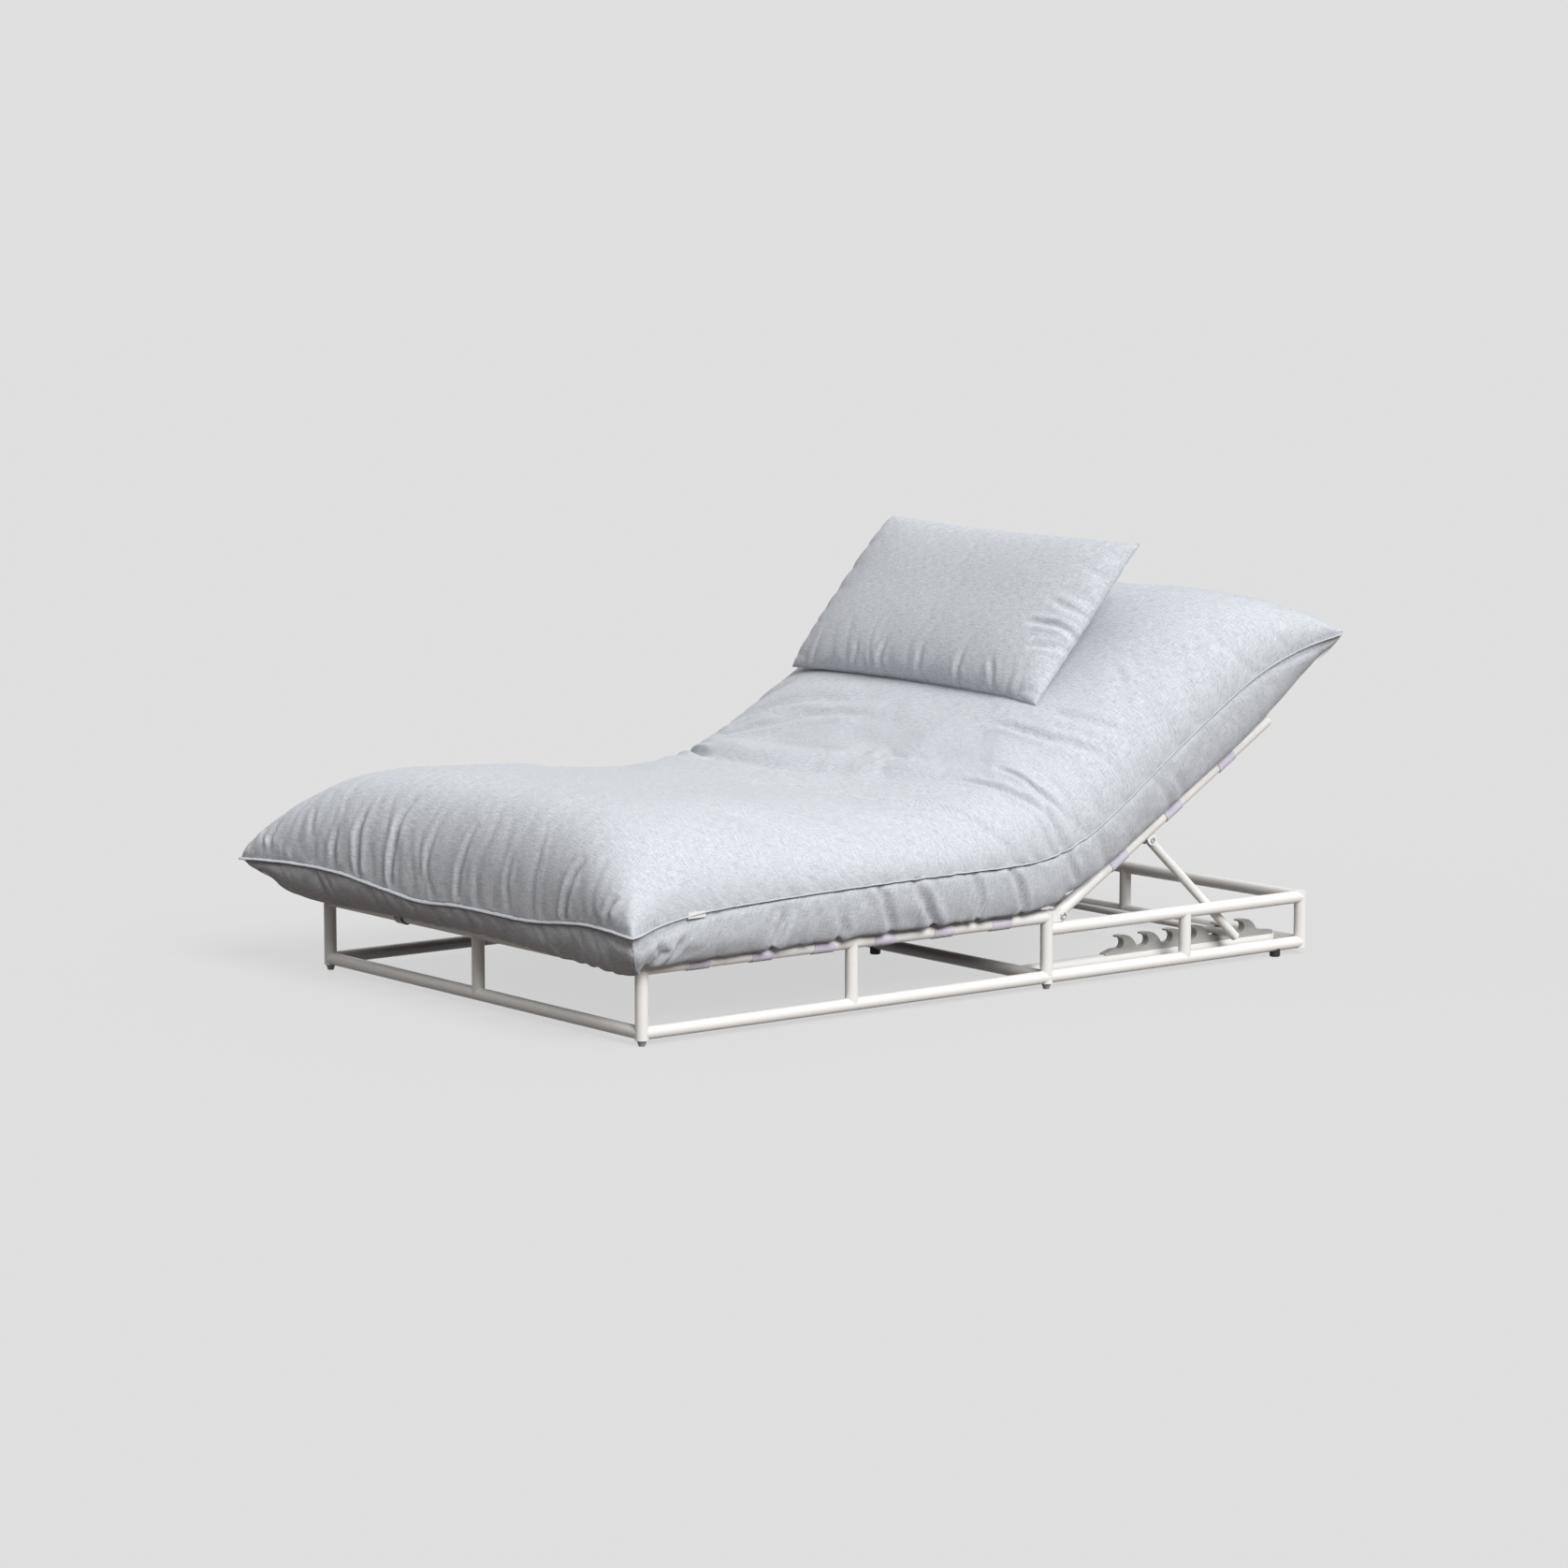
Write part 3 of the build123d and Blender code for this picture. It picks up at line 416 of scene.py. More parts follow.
top_rows = evenly_along(ends_of_top, usual_top_rise)
under_rows = evenly_along(ends_of_underside, usual_under_rise)
lines_spared = 1.6
seam_blend = 14
foot_tuck = 0.005
foot_ear = 0.033
foot_bow = 0.040
head_ear = 0.012
head_bow = 0.034
seam_dip_reach = 0.16
head_seam_dip = 0.018
side_droop = 0.018
rail_side = 0.648
rail_foot = -1.236
side_rounding = 0.014
foot_rounding = 0.03
droop_stop = 0.02
droop_fade = 0.06
corner_reach = 0.12


def beside_rim(place, steps):
    """Move the grid's lines towards the rim, so that the first ones stand 3 to 8 mm from the seam."""
    count = (1 - np.abs(place)) * steps / 2
    spared = lines_spared * (1 - np.exp(-count / 2))
    return np.sign(place) * (1 - (count - spared) / (steps / 2 - lines_spared))


def pad_points(across, along, panel):
    """Where the cloth lies, for places from -1 to 1 across and along one panel."""
    top = panel > 0
    edge_along = np.abs(along) ** seam_blend
    edge_across = np.abs(across) ** seam_blend
    spread = np.where(top, top_spread(across), under_spread(across))
    spread = spread * (1 - edge_along) + across * edge_along
    row = np.where(top, top_rows(along), under_rows(along))
    row = row * (1 - edge_across) + along * edge_across
    foot = foot_tip - foot_tuck + foot_ear * spread + foot_bow * (1 - spread**2)
    head = head_tip - head_bow * (1 - spread**2) + head_ear * spread
    at = foot + (row + 1) / 2 * (head - foot)
    width = half_width(at)
    x = spread * width
    from_foot = at - foot
    from_head = head - at
    seam = side_seam(at)
    seam = seam - foot_seam_drop(spread) * np.exp(-((from_foot / seam_dip_reach) ** 2))
    seam = seam - head_seam_dip * (1 - spread**2) * np.exp(-((from_head / seam_dip_reach) ** 2))
    share = np.abs(spread)
    ends = ends_of_top(from_foot, from_head, top_fullness + middle_fullness * (1 - spread**2))
    swell = top_swell(share, side_fullness(at)) * ends
    upper = seam + (crown_rise(at) - seam) * swell
    droop = side_droop * soft_step((np.abs(x) - rail_side) / side_rounding)
    droop = droop * soft_step((droop_stop - at) / droop_fade)
    droop = np.maximum(droop, foot_belly(spread) * soft_step((rail_foot - at) / foot_rounding))
    far_corner = soft_step(-2 * spread) * np.exp(-((from_foot / corner_reach) ** 2))
    side_under = under_swell(share, under_fullness - corner_loss * far_corner)
    lower = seam - (seam + droop) * side_under * ends_of_underside(from_foot, from_head)
    height = np.where(top, upper, lower)
    y = np.interp(at, path_at, path_y)
    z = np.interp(at, path_at, path_z)
    angle = np.interp(at, path_at, path_angle)
    points = np.stack([x, y - height * np.sin(angle), z + height * np.cos(angle)], axis=-1)
    return points, x, at


# Pleats: how much their steps vary, the weakest one's strength and how much rarer the strong ones are,
# how round their tops are and the level that counts as 0
step_variance = 0.5
weakest_pleat = 0.15
pleat_rarity = 1.3
pleat_roundness = 0.7
pleat_level = 0.6
# Creases, in widths of the valley: where the ridge beside it stands, how wide it is, and how far the
# crease reaches. Then, as shares, the ridge's height, the length over which an end fades, and the depth
# that the ends keep
ridge_place = 2.1
ridge_width = 1.1
crease_reach = 6
ridge_height = 0.5
crease_fade = 0.3
crease_end_share = 0.25


def uneven(start, stop, spacing, seed):
    """Places from start to stop whose steps vary round one spacing."""
    count = round((stop - start) / spacing)
    steps = np.random.default_rng(seed).uniform(1 - step_variance, 1 + step_variance, count)
    return start + (stop - start) * np.concatenate([[0], np.cumsum(steps)]) / steps.sum()


def pleats(place, valleys, seed):
    """Rounded folds between sharp valleys, above and below 0, some of them weak."""
    phase = np.interp(place, valleys, np.arange(len(valleys)))
    strength = np.random.default_rng(seed).uniform(weakest_pleat, 1, len(valleys)) ** pleat_rarity
    rounded = np.abs(np.sin(math.pi * phase)) ** pleat_roundness
    return np.interp(place, valleys, strength) * (rounded - pleat_level)


def wander(gap, place, *waves):
    """How far a fold strays sideways from its line: each wave has a reach and a rate by gap and by place."""
    return sum(reach * np.sin(gap * by_gap + place * by_place) for reach, by_gap, by_place in waves)


def crease(x, at, route, width, depth):
    """One valley with a low ridge on each side, along a route of (x, at) places, fading at its ends."""
    route = np.array(route)
    steps = np.hypot(*np.diff(route, axis=0).T)
    run = np.concatenate([[0], np.cumsum(steps)])
    nearest = np.full(x.shape, np.inf)
    reached = np.zeros(x.shape)
    for k, (start, end) in enumerate(zip(route[:-1], route[1:])):
        way = end - start
        share = np.clip(((x - start[0]) * way[0] + (at - start[1]) * way[1]) / (way @ way), 0, 1)
        gap = np.hypot(x - start[0] - share * way[0], at - start[1] - share * way[1])
        closer = gap < nearest
        nearest = np.where(closer, gap, nearest)
        reached = np.where(closer, run[k] + share * steps[k], reached)
    fading = crease_fade * run[-1]
    fade = soft_step(reached / fading) * soft_step((run[-1] - reached) / fading)
    valley = -np.exp(-((nearest / width) ** 2))
    ridge = ridge_height * np.exp(-(((nearest - ridge_place * width) / (ridge_width * width)) ** 2))
    full = depth * (crease_end_share + (1 - crease_end_share) * fade)
    return full * (valley + ridge) * np.exp(-((nearest / (crease_reach * width)) ** 4))


# Creases that show on the top panel where it bends: route, width and depth of each
pad_creases = (
    (((-0.68, -0.08), (-0.54, -0.18), (-0.37, -0.25), (-0.07, -0.27), (0.15, -0.255), (0.33, -0.22),
      (0.47, -0.16), (0.61, -0.08)), 0.034, 0.012),
    (((-0.67, -0.09), (-0.60, -0.14), (-0.54, -0.18), (-0.42, -0.235)), 0.011, 0.015),
    (((0.45, -0.16), (0.54, -0.115), (0.60, -0.078), (0.64, -0.045), (0.685, -0.01)), 0.010, 0.011),
    (((0.52, -0.01), (0.58, 0.012), (0.63, 0.018), (0.672, 0.043), (0.688, 0.07)), 0.010, 0.010),
    (((0.36, 0.215), (0.51, 0.222), (0.57, 0.234), (0.62, 0.256), (0.665, 0.275)), 0.011, 0.011),
    (((0.46, 0.30), (0.55, 0.315), (0.62, 0.34), (0.67, 0.37)), 0.012, 0.006),
    (((0.43, -0.35), (0.51, -0.325), (0.57, -0.288), (0.62, -0.262), (0.67, -0.235),
      (0.69, -0.18)), 0.009, 0.008),
    (((0.62, -0.556), (0.67, -0.558), (0.69, -0.540)), 0.009, 0.006),
    (((0.63, -0.485), (0.67, -0.473), (0.69, -0.450)), 0.009, 0.006),
    (((0.60, -0.395), (0.66, -0.385), (0.69, -0.350)), 0.009, 0.006),
    (((-0.60, 0.06), (-0.525, 0.108), (-0.426, 0.175), (-0.293, 0.214), (-0.10, 0.23)), 0.024, 0.008),
    (((-0.50, -0.06), (-0.367, 0.008), (-0.254, 0.11), (-0.154, 0.15), (0.05, 0.16)), 0.026, 0.008),
    (((-0.66, 0.20), (-0.58, 0.23), (-0.47, 0.29)), 0.016, 0.008),
    (((-0.68, -0.40), (-0.62, -0.37), (-0.54, -0.36)), 0.012, 0.006),
)
# Creases above the foot seam, by place across and distance from the seam, and those of the lower
# panel along the sides, by distance from the seam and place along the pad
foot_creases = (
    (((-0.648, 0.004), (-0.656, 0.05), (-0.640, 0.11)), 0.008, 0.013),
    (((-0.500, 0.06), (-0.515, 0.14)), 0.007, 0.007),
    (((-0.405, 0.004), (-0.415, 0.05), (-0.410, 0.10)), 0.007, 0.010),
    (((-0.312, -0.03), (-0.322, 0.03), (-0.330, 0.08), (-0.322, 0.15)), 0.008, 0.018),
    (((-0.189, -0.03), (-0.199, 0.03), (-0.193, 0.12), (-0.175, 0.17)), 0.008, 0.015),
    (((-0.060, 0.01), (-0.068, 0.07), (-0.055, 0.12)), 0.007, 0.007),
    (((0.051, -0.02), (0.058, 0.06), (0.085, 0.14)), 0.007, 0.009),
    (((0.250, 0.01), (0.240, 0.06), (0.250, 0.11)), 0.007, 0.006),
    (((0.462, -0.04), (0.470, 0.03), (0.482, 0.08), (0.505, 0.13)), 0.008, 0.020),
    (((0.630, -0.03), (0.636, 0.03), (0.652, 0.08)), 0.008, 0.016),
)
side_creases = (
    (((0.012, -1.215), (0.05, -1.20), (0.11, -1.225)), 0.009, 0.012),
    (((0.030, -1.150), (0.09, -1.165)), 0.008, 0.008),
    (((0.020, -0.852), (0.07, -0.862), (0.13, -0.880)), 0.010, 0.013),
    (((0.050, -0.690), (0.09, -0.675), (0.13, -0.690)), 0.009, 0.010),
    (((-0.02, -0.600), (0.05, -0.565), (0.12, -0.525)), 0.009, 0.012),
    (((0.010, -0.480), (0.06, -0.440), (0.13, -0.390)), 0.010, 0.014),
    (((-0.01, -0.310), (0.06, -0.283), (0.13, -0.270)), 0.008, 0.011),
    (((-0.02, -0.215), (0.05, -0.160), (0.12, -0.135)), 0.009, 0.012),
    (((0.030, 0.020), (0.10, 0.035)), 0.010, 0.007),
)
foot_valleys = uneven(-0.76, 0.76, 0.052, 11)
head_valleys = uneven(-0.76, 0.76, 0.060, 12)
side_valleys = uneven(-1.45, 1.15, 0.080, 13)
near_panel_valleys = uneven(-1.45, 1.15, 0.072, 18)
foot_waves = ((0.012, 23, 9), (0.006, 51, 31))
head_wave = (0.012, 25, 8)
side_wave = (0.010, 27, 7)
near_panel_wave = (0.016, 19, 5)
seam_start = 0.014
gather_reach = 0.15
gather_fall = 1.5
side_gather_reach = 0.10
bend_gather_reach = 0.10
side_gather_fall = 1.6
bend_middle = -0.05
bend_width = 0.30
foot_gathers = 0.007
head_gathers = 0.008
side_gathers = 0.004
bend_gathers = 0.007
under_gathers = 0.008
head_under_gathers = 0.004
filling_lumps = 0.0022
lump_side_margin = 0.15
lump_end_margin = 0.2
foot_crease_share = 0.6
side_crease_start = 0.010
# The lower panel's gathers: where they start and end, how the front ones lean, and how calm the back is
near_start = 0.03
front_start = 0.02
band_end = 0.10
band_fade = 0.04
front_lean = 0.25
head_band_end = 0.2
head_band_fade = 0.1
back_start = 0.35
back_blend = 0.3
back_calm = 0.7
seam_groove = 0.0055
groove_place = 0.004
groove_width = 0.004
groove_start = 0.002
pillow_dent = 0.026
pillow_spot = (-0.035, 0.49)
dent_reach = (0.47, 0.15)


def under_pillow(x, at, reach):
    """1 where the pillow lies on the pad, and 0 beyond its reach to the sides and to the ends."""
    return np.exp(-(((x - pillow_spot[0]) / reach[0]) ** 4) - ((at - pillow_spot[1]) / reach[1]) ** 4)


def band(gap, start):
    """1 in a band beside the seam, from a start to the bands' common end."""
    return soft_step(gap / start) * (1 - soft_step((gap - band_end) / band_fade))


def pad_folds(across, along, panel, x, at):
    """How far the cloth stands out of its smooth shape."""
    top = panel > 0
    from_side = (1 - np.abs(across)) * flat_half_width
    from_foot = (along + 1) / 2 * flat_length
    from_head = (1 - along) / 2 * flat_length
    sway = wander(from_foot, x, *foot_waves)
    foot_start = soft_step(from_foot / seam_start)
    fade = np.exp(-((from_foot / gather_reach) ** gather_fall))
    foot = pleats(x + sway, foot_valleys, 21) * fade * foot_start
    sway = wander(from_head, x, head_wave)
    fade = np.exp(-((from_head / gather_reach) ** gather_fall))
    head = pleats(x + sway, head_valleys, 22) * fade * soft_step(from_head / seam_start)
    sway = wander(from_side, at, side_wave)
    bend = np.exp(-(((at - bend_middle) / bend_width) ** 2))
    fade = np.exp(-((from_side / (side_gather_reach + bend_gather_reach * bend)) ** side_gather_fall))
    side = pleats(at + sway, side_valleys, 23) * fade * soft_step(from_side / seam_start)
    lumps = (
        np.sin(7.1 * x + 3.0 * at + 0.6) * np.sin(5.3 * at - 2.1 * x + 1.1)
        + 0.6 * np.sin(12.7 * x - 4.1 * at) * np.sin(11.3 * at + 5.2 * x + 2.0)
    )
    inside = soft_step(from_side / lump_side_margin) * soft_step(from_foot / lump_end_margin)
    inside = inside * soft_step(from_head / lump_end_margin)
    dent = under_pillow(x, at, dent_reach)
    upper = foot_gathers * foot + head_gathers * head + (side_gathers + bend_gathers * bend) * side
    upper = upper + filling_lumps * lumps * inside - pillow_dent * dent
    upper = upper + sum(crease(x, at, *fold) for fold in pad_creases)
    creases = sum(crease(x, from_foot, *fold) for fold in foot_creases)
    upper = upper + foot_crease_share * creases * foot_start
    sway = wander(from_side, at, near_panel_wave)
    near = pleats(at + sway, near_panel_valleys, 24) * band(from_side, near_start)
    sway = front_lean * from_foot
    front = pleats(x - sway, foot_valleys, 25) * band(from_foot, front_start)
    fade = 1 - soft_step((from_head - head_band_end) / head_band_fade)
    back = pleats(x + sway, head_valleys, 26) * soft_step(from_head / front_start) * fade
    calm = 1 - back_calm * soft_step((at - back_start) / back_blend)
    lower = under_gathers * near * calm + under_gathers * front + head_under_gathers * back
    creases = sum(crease(from_side, at, *fold) for fold in side_creases)
    lower = lower + creases * soft_step(from_side / side_crease_start)
    rim = np.minimum(from_side, from_foot)
    groove = seam_groove * np.exp(-(((rim - groove_place) / groove_width) ** 2))
    groove = groove * soft_step(rim / groove_start)
    lower = lower - groove
    return np.where(top, upper, lower)


settling_frames = 14
spare_cloth = 0.035
edge_lines = 18
fold_limit = 0.010
sewn_gap = 1e-5
rolled_gap = 2e-5
rim_place = 0.9999


def blown_up(piece, seam, spare):
    """Where the cloth goes when it is cut too large by a share and blown up gently inside its held seam."""
    held = piece.vertex_groups.new(name="seam")
    held.add(seam.tolist(), 1.0, "REPLACE")
    modifier = piece.modifiers.new("cloth", "CLOTH")
    cloth = modifier.settings
    cloth.quality = 4
    cloth.mass = 0.15
    cloth.tension_stiffness = 30
    cloth.compression_stiffness = 30
    cloth.shear_stiffness = 10
    cloth.bending_stiffness = 0.3
    cloth.air_damping = 1
    cloth.use_pressure = True
    cloth.uniform_pressure_force = 4
    cloth.vertex_group_mass = "seam"
    cloth.shrink_min = -spare
    cloth.effector_weights.gravity = 0
    modifier.collision_settings.use_collision = False
    modifier.point_cache.frame_start = 1
    modifier.point_cache.frame_end = settling_frames
    for number in range(1, settling_frames + 1):
        bpy.context.scene.frame_set(number)
    settled = piece.evaluated_get(bpy.context.evaluated_depsgraph_get()).data
    moved = np.empty(len(settled.vertices) * 3)
    settled.vertices.foreach_get("co", moved)
    piece.modifiers.remove(modifier)
    piece.vertex_groups.remove(held)
    bpy.context.scene.frame_set(1)
    return moved.reshape(-1, 3)


def smoothed(grid, axis, passes=150):
    """The grid's values evened out along one axis."""
    for _ in range(passes):
        before = np.take(grid, [0, *range(grid.shape[axis] - 1)], axis)
        after = np.take(grid, [*range(1, grid.shape[axis]), -1], axis)
        grid = (before + 2 * grid + after) / 4
    return grid


def folds_only(height, column, row):
    """Leave a panel's swelling out of its heights and keep the folds."""
    grid = np.zeros((row.max() + 1, column.max() + 1))
    grid[row, column] = height
    from_side = np.minimum(column, column.max() - column)
    from_end = np.minimum(row, row.max() - row)
    beside = np.exp(-((from_side / edge_lines) ** 2))
    at_end = np.exp(-((from_end / edge_lines) ** 2))
    along_side = smoothed(grid, 0)[row, column]
    along_end = smoothed(grid, 1)[row, column]
    around = smoothed(smoothed(grid, 0), 1)[row, column]
    side_share = beside * (1 - at_end)
    end_share = at_end * (1 - beside)
    swelling = side_share * along_side + end_share * along_end + (1 - side_share - end_share) * around
    return fold_limit * np.tanh((height - swelling) / fold_limit)


def sewn_case(name, columns, rows, shape, folds, kept):
    """Two grids of cloth, laid face to face and sewn together round their rim, shaped and folded.

    It returns the piece, and for the points of its seam in order: where they lie, the way out of the
    case, and their places across and along."""
    bm = bmesh.new()
    bm.loops.layers.uv.new("UVMap")
    bmesh.ops.create_grid(bm, x_segments=columns, y_segments=rows, size=1, calc_uvs=True)
    panel = bm.verts.layers.float.new("panel")
    rim = bm.verts.layers.float.new("rim")
    for vert in bm.verts:
        vert[panel] = 1
        vert[rim] = float(vert.is_boundary)
    lower = bmesh.ops.duplicate(bm, geom=bm.verts[:] + bm.edges[:] + bm.faces[:])["geom"]
    for part in lower:
        if isinstance(part, bmesh.types.BMVert):
            part[panel] = -1
    bmesh.ops.reverse_faces(bm, faces=[part for part in lower if isinstance(part, bmesh.types.BMFace)])
    bmesh.ops.remove_doubles(bm, verts=[vert for vert in bm.verts if vert[rim]], dist=sewn_gap)
    mesh = bpy.data.meshes.new(name)
    bm.to_mesh(mesh)
    bm.free()
    count = len(mesh.vertices)
    flat = np.empty(count * 3)
    mesh.vertices.foreach_get("co", flat)
    across, along = flat.reshape(count, 3)[:, :2].T.copy()
    column = np.rint((across + 1) / 2 * columns).astype(int)
    row = np.rint((along + 1) / 2 * rows).astype(int)
    across = beside_rim(across, columns)
    along = beside_rim(along, rows)
    panels = np.empty(count)
    mesh.attributes["panel"].data.foreach_get("value", panels)
    points, x, at = shape(across, along, panels)
    mesh.vertices.foreach_set("co", points.ravel())
    mesh.update()
    normals = np.empty(count * 3)
    mesh.vertex_normals.foreach_get("vector", normals)
    normals = normals.reshape(count, 3)
    points = points + normals * folds(across, along, panels, x, at)[:, None]
    mesh.vertices.foreach_set("co", points.ravel())
    mesh.polygons.foreach_set("use_smooth", np.ones(len(mesh.polygons), dtype=bool))
    mesh.update()
    piece = bpy.data.objects.new(name, mesh)
    bpy.context.scene.collection.objects.link(piece)
    on_rim = (np.abs(across) > rim_place) | (np.abs(along) > rim_place)
    sewn = np.flatnonzero(on_rim)
    sewn = sewn[np.argsort(np.arctan2(along[sewn], across[sewn]))]
    height = np.sum((blown_up(piece, sewn, spare_cloth) - points) * normals, axis=1)
    for side in (1, -1):
        on = (panels == side) | on_rim
        share = kept(across[on], along[on], side, x[on], at[on])
        made = share * folds_only(height[on], column[on], row[on])
        points[on] += normals[on] * (made * ~on_rim[on])[:, None]
    mesh.vertices.foreach_set("co", points.ravel())
    mesh.update()
    outward = np.empty(count * 3)
    mesh.vertex_normals.foreach_get("vector", outward)
    return piece, points[sewn], outward.reshape(count, 3)[sewn], across[sewn], along[sewn]


welt_sides = 12
welt_middle = 0.42
welt_stretch = 1.2


def welt(name, route, outward, reach, thickness, closed=True):
    """A strip of folded cloth that stands out of a seam, made from a grid rolled round the route."""
    count = len(route)
    lengths = count if closed else count - 1
    bm = bmesh.new()
    bm.loops.layers.uv.new("UVMap")
    bmesh.ops.create_grid(bm, x_segments=lengths, y_segments=welt_sides, size=1, calc_uvs=True)
    mesh = bpy.data.meshes.new(name)
    bm.to_mesh(mesh)
    flat = np.empty(len(mesh.vertices) * 3)
    mesh.vertices.foreach_get("co", flat)
    places, turns = flat.reshape(-1, 3)[:, :2].T
    number = np.rint((places + 1) / 2 * lengths).astype(int) % count
    if closed:
        way = np.roll(route, -1, axis=0) - np.roll(route, 1, axis=0)
    else:
        way = np.gradient(route, axis=0)
    way /= np.linalg.norm(way, axis=1)[:, None]
    outward = outward - way * np.sum(outward * way, axis=1)[:, None]
    outward /= np.linalg.norm(outward, axis=1)[:, None]
    upward = np.cross(way, outward)
    turn = turns * math.pi
    out = (reach * welt_middle)[number] * (1 + welt_stretch * np.cos(turn))
    rise = (thickness / 2)[number] * np.sin(turn)
    points = route[number] + outward[number] * out[:, None] + upward[number] * rise[:, None]
    mesh.vertices.foreach_set("co", points.ravel())
    bm.clear()
    bm.from_mesh(mesh)
    bmesh.ops.remove_doubles(bm, verts=bm.verts[:], dist=rolled_gap)
    bmesh.ops.holes_fill(bm, edges=[edge for edge in bm.edges if edge.is_boundary], sides=welt_sides)
    bmesh.ops.recalc_face_normals(bm, faces=bm.faces[:])
    bm.to_mesh(mesh)
    bm.free()
    mesh.polygons.foreach_set("use_smooth", np.ones(len(mesh.polygons), dtype=bool))
    piece = bpy.data.objects.new(name, mesh)
    bpy.context.scene.collection.objects.link(piece)
    return piece


pad_share = 0.55
press_reach = (0.50, 0.17)
foot_loss = 0.5
foot_loss_reach = 0.28
hang_at_side = 0.07
hang_at_foot = 0.08
hang_blend = 0.04
hang_at_head = 0.15
head_hang_blend = 0.06
head_hang_share = 0.5
back_loss = 0.5


def pad_kept(across, along, panel, x, at):
    """How much of the free folds stays: none under the pillow or on the deck, and less at the foot."""
    from_side = (1 - np.abs(across)) * flat_half_width
    from_foot = (along + 1) / 2 * flat_length
    from_head = (1 - along) / 2 * flat_length
    if panel > 0:
        free = 1 - under_pillow(x, at, press_reach)
        return pad_share * free * (1 - foot_loss * np.exp(-((from_foot / foot_loss_reach) ** 2)))
    side_hangs = 1 - soft_step((from_side - hang_at_side) / hang_blend)
    foot_hangs = 1 - soft_step((from_foot - hang_at_foot) / hang_blend)
    head_hangs = 1 - soft_step((from_head - hang_at_head) / head_hang_blend)
    calm = 1 - back_loss * soft_step((at - back_start) / back_blend)
    hangs = np.maximum(side_hangs, foot_hangs) * calm
    return pad_share * np.maximum(hangs, head_hang_share * head_hangs)


pad, pad_rim, pad_rim_out, _, rim_along = sewn_case("pad", 200, 300, pad_points, pad_folds, pad_kept)
# The seam's folded strip is widest at the foot, and it puckers with the gathers
end_place = 0.94
end_blend = 0.05
strip_droop = 0.25
strip_reach = 0.0042
foot_strip_reach = 0.0045
head_strip_reach = 0.0012
strip_thickness = 0.0026
foot_strip_thickness = 0.0010
pucker_waves = ((0.6, 61, 0), (0.4, 137, 1), (0.3, 233, 2))
pucker_reach = 0.0006
pucker_rise = 0.0007
at_foot = soft_step((-end_place - rim_along) / end_blend)
at_head = soft_step((rim_along - end_place) / end_blend)
run = np.cumsum(np.linalg.norm(np.diff(pad_rim, axis=0, prepend=pad_rim[-1:]), axis=1))
pucker = sum(height * np.sin(run * rate + start) for height, rate, start in pucker_waves)
pad_welt = welt(
    "pad_welt", pad_rim + np.outer(pucker_rise * pucker, (0, 0, 1)),
    pad_rim_out - np.array([0, 0, strip_droop]),
    strip_reach + foot_strip_reach * at_foot + head_strip_reach * at_head + pucker_reach * pucker,
    strip_thickness + foot_strip_thickness * at_foot,
)
# A short dart runs from each corner over the lower panel, where its two sides are sewn together
pad_darts = []
dart_points = 24
dart_start = 0.004
dart_end = 0.085
dart_slant = 0.9
dart_out = (0.75, 0.66, -0.1)
dart_size = 0.0030
dart_tip = 0.0002
dart_taper = 0.25
for side in (-1, 1):
    for end in (-1, 1):
        steps = np.linspace(dart_start, dart_end, dart_points)
        dart, _, _ = pad_points(side * (1 - steps), end * (1 - steps * dart_slant), -np.ones(dart_points))
        out = np.tile((side * dart_out[0], end * dart_out[1], dart_out[2]), (dart_points, 1))
        size = dart_size * np.sin(np.linspace(dart_taper, math.pi, dart_points)) + dart_tip
        pad_darts.append(welt(f"pad_dart_{len(pad_darts) + 1}", dart, out, size, size, closed=False))

heather_light = (0.69, 0.72, 0.77, 1)
heather_dark = (0.40, 0.425, 0.465, 1)
heather_pale = (0.76, 0.78, 0.815, 1)


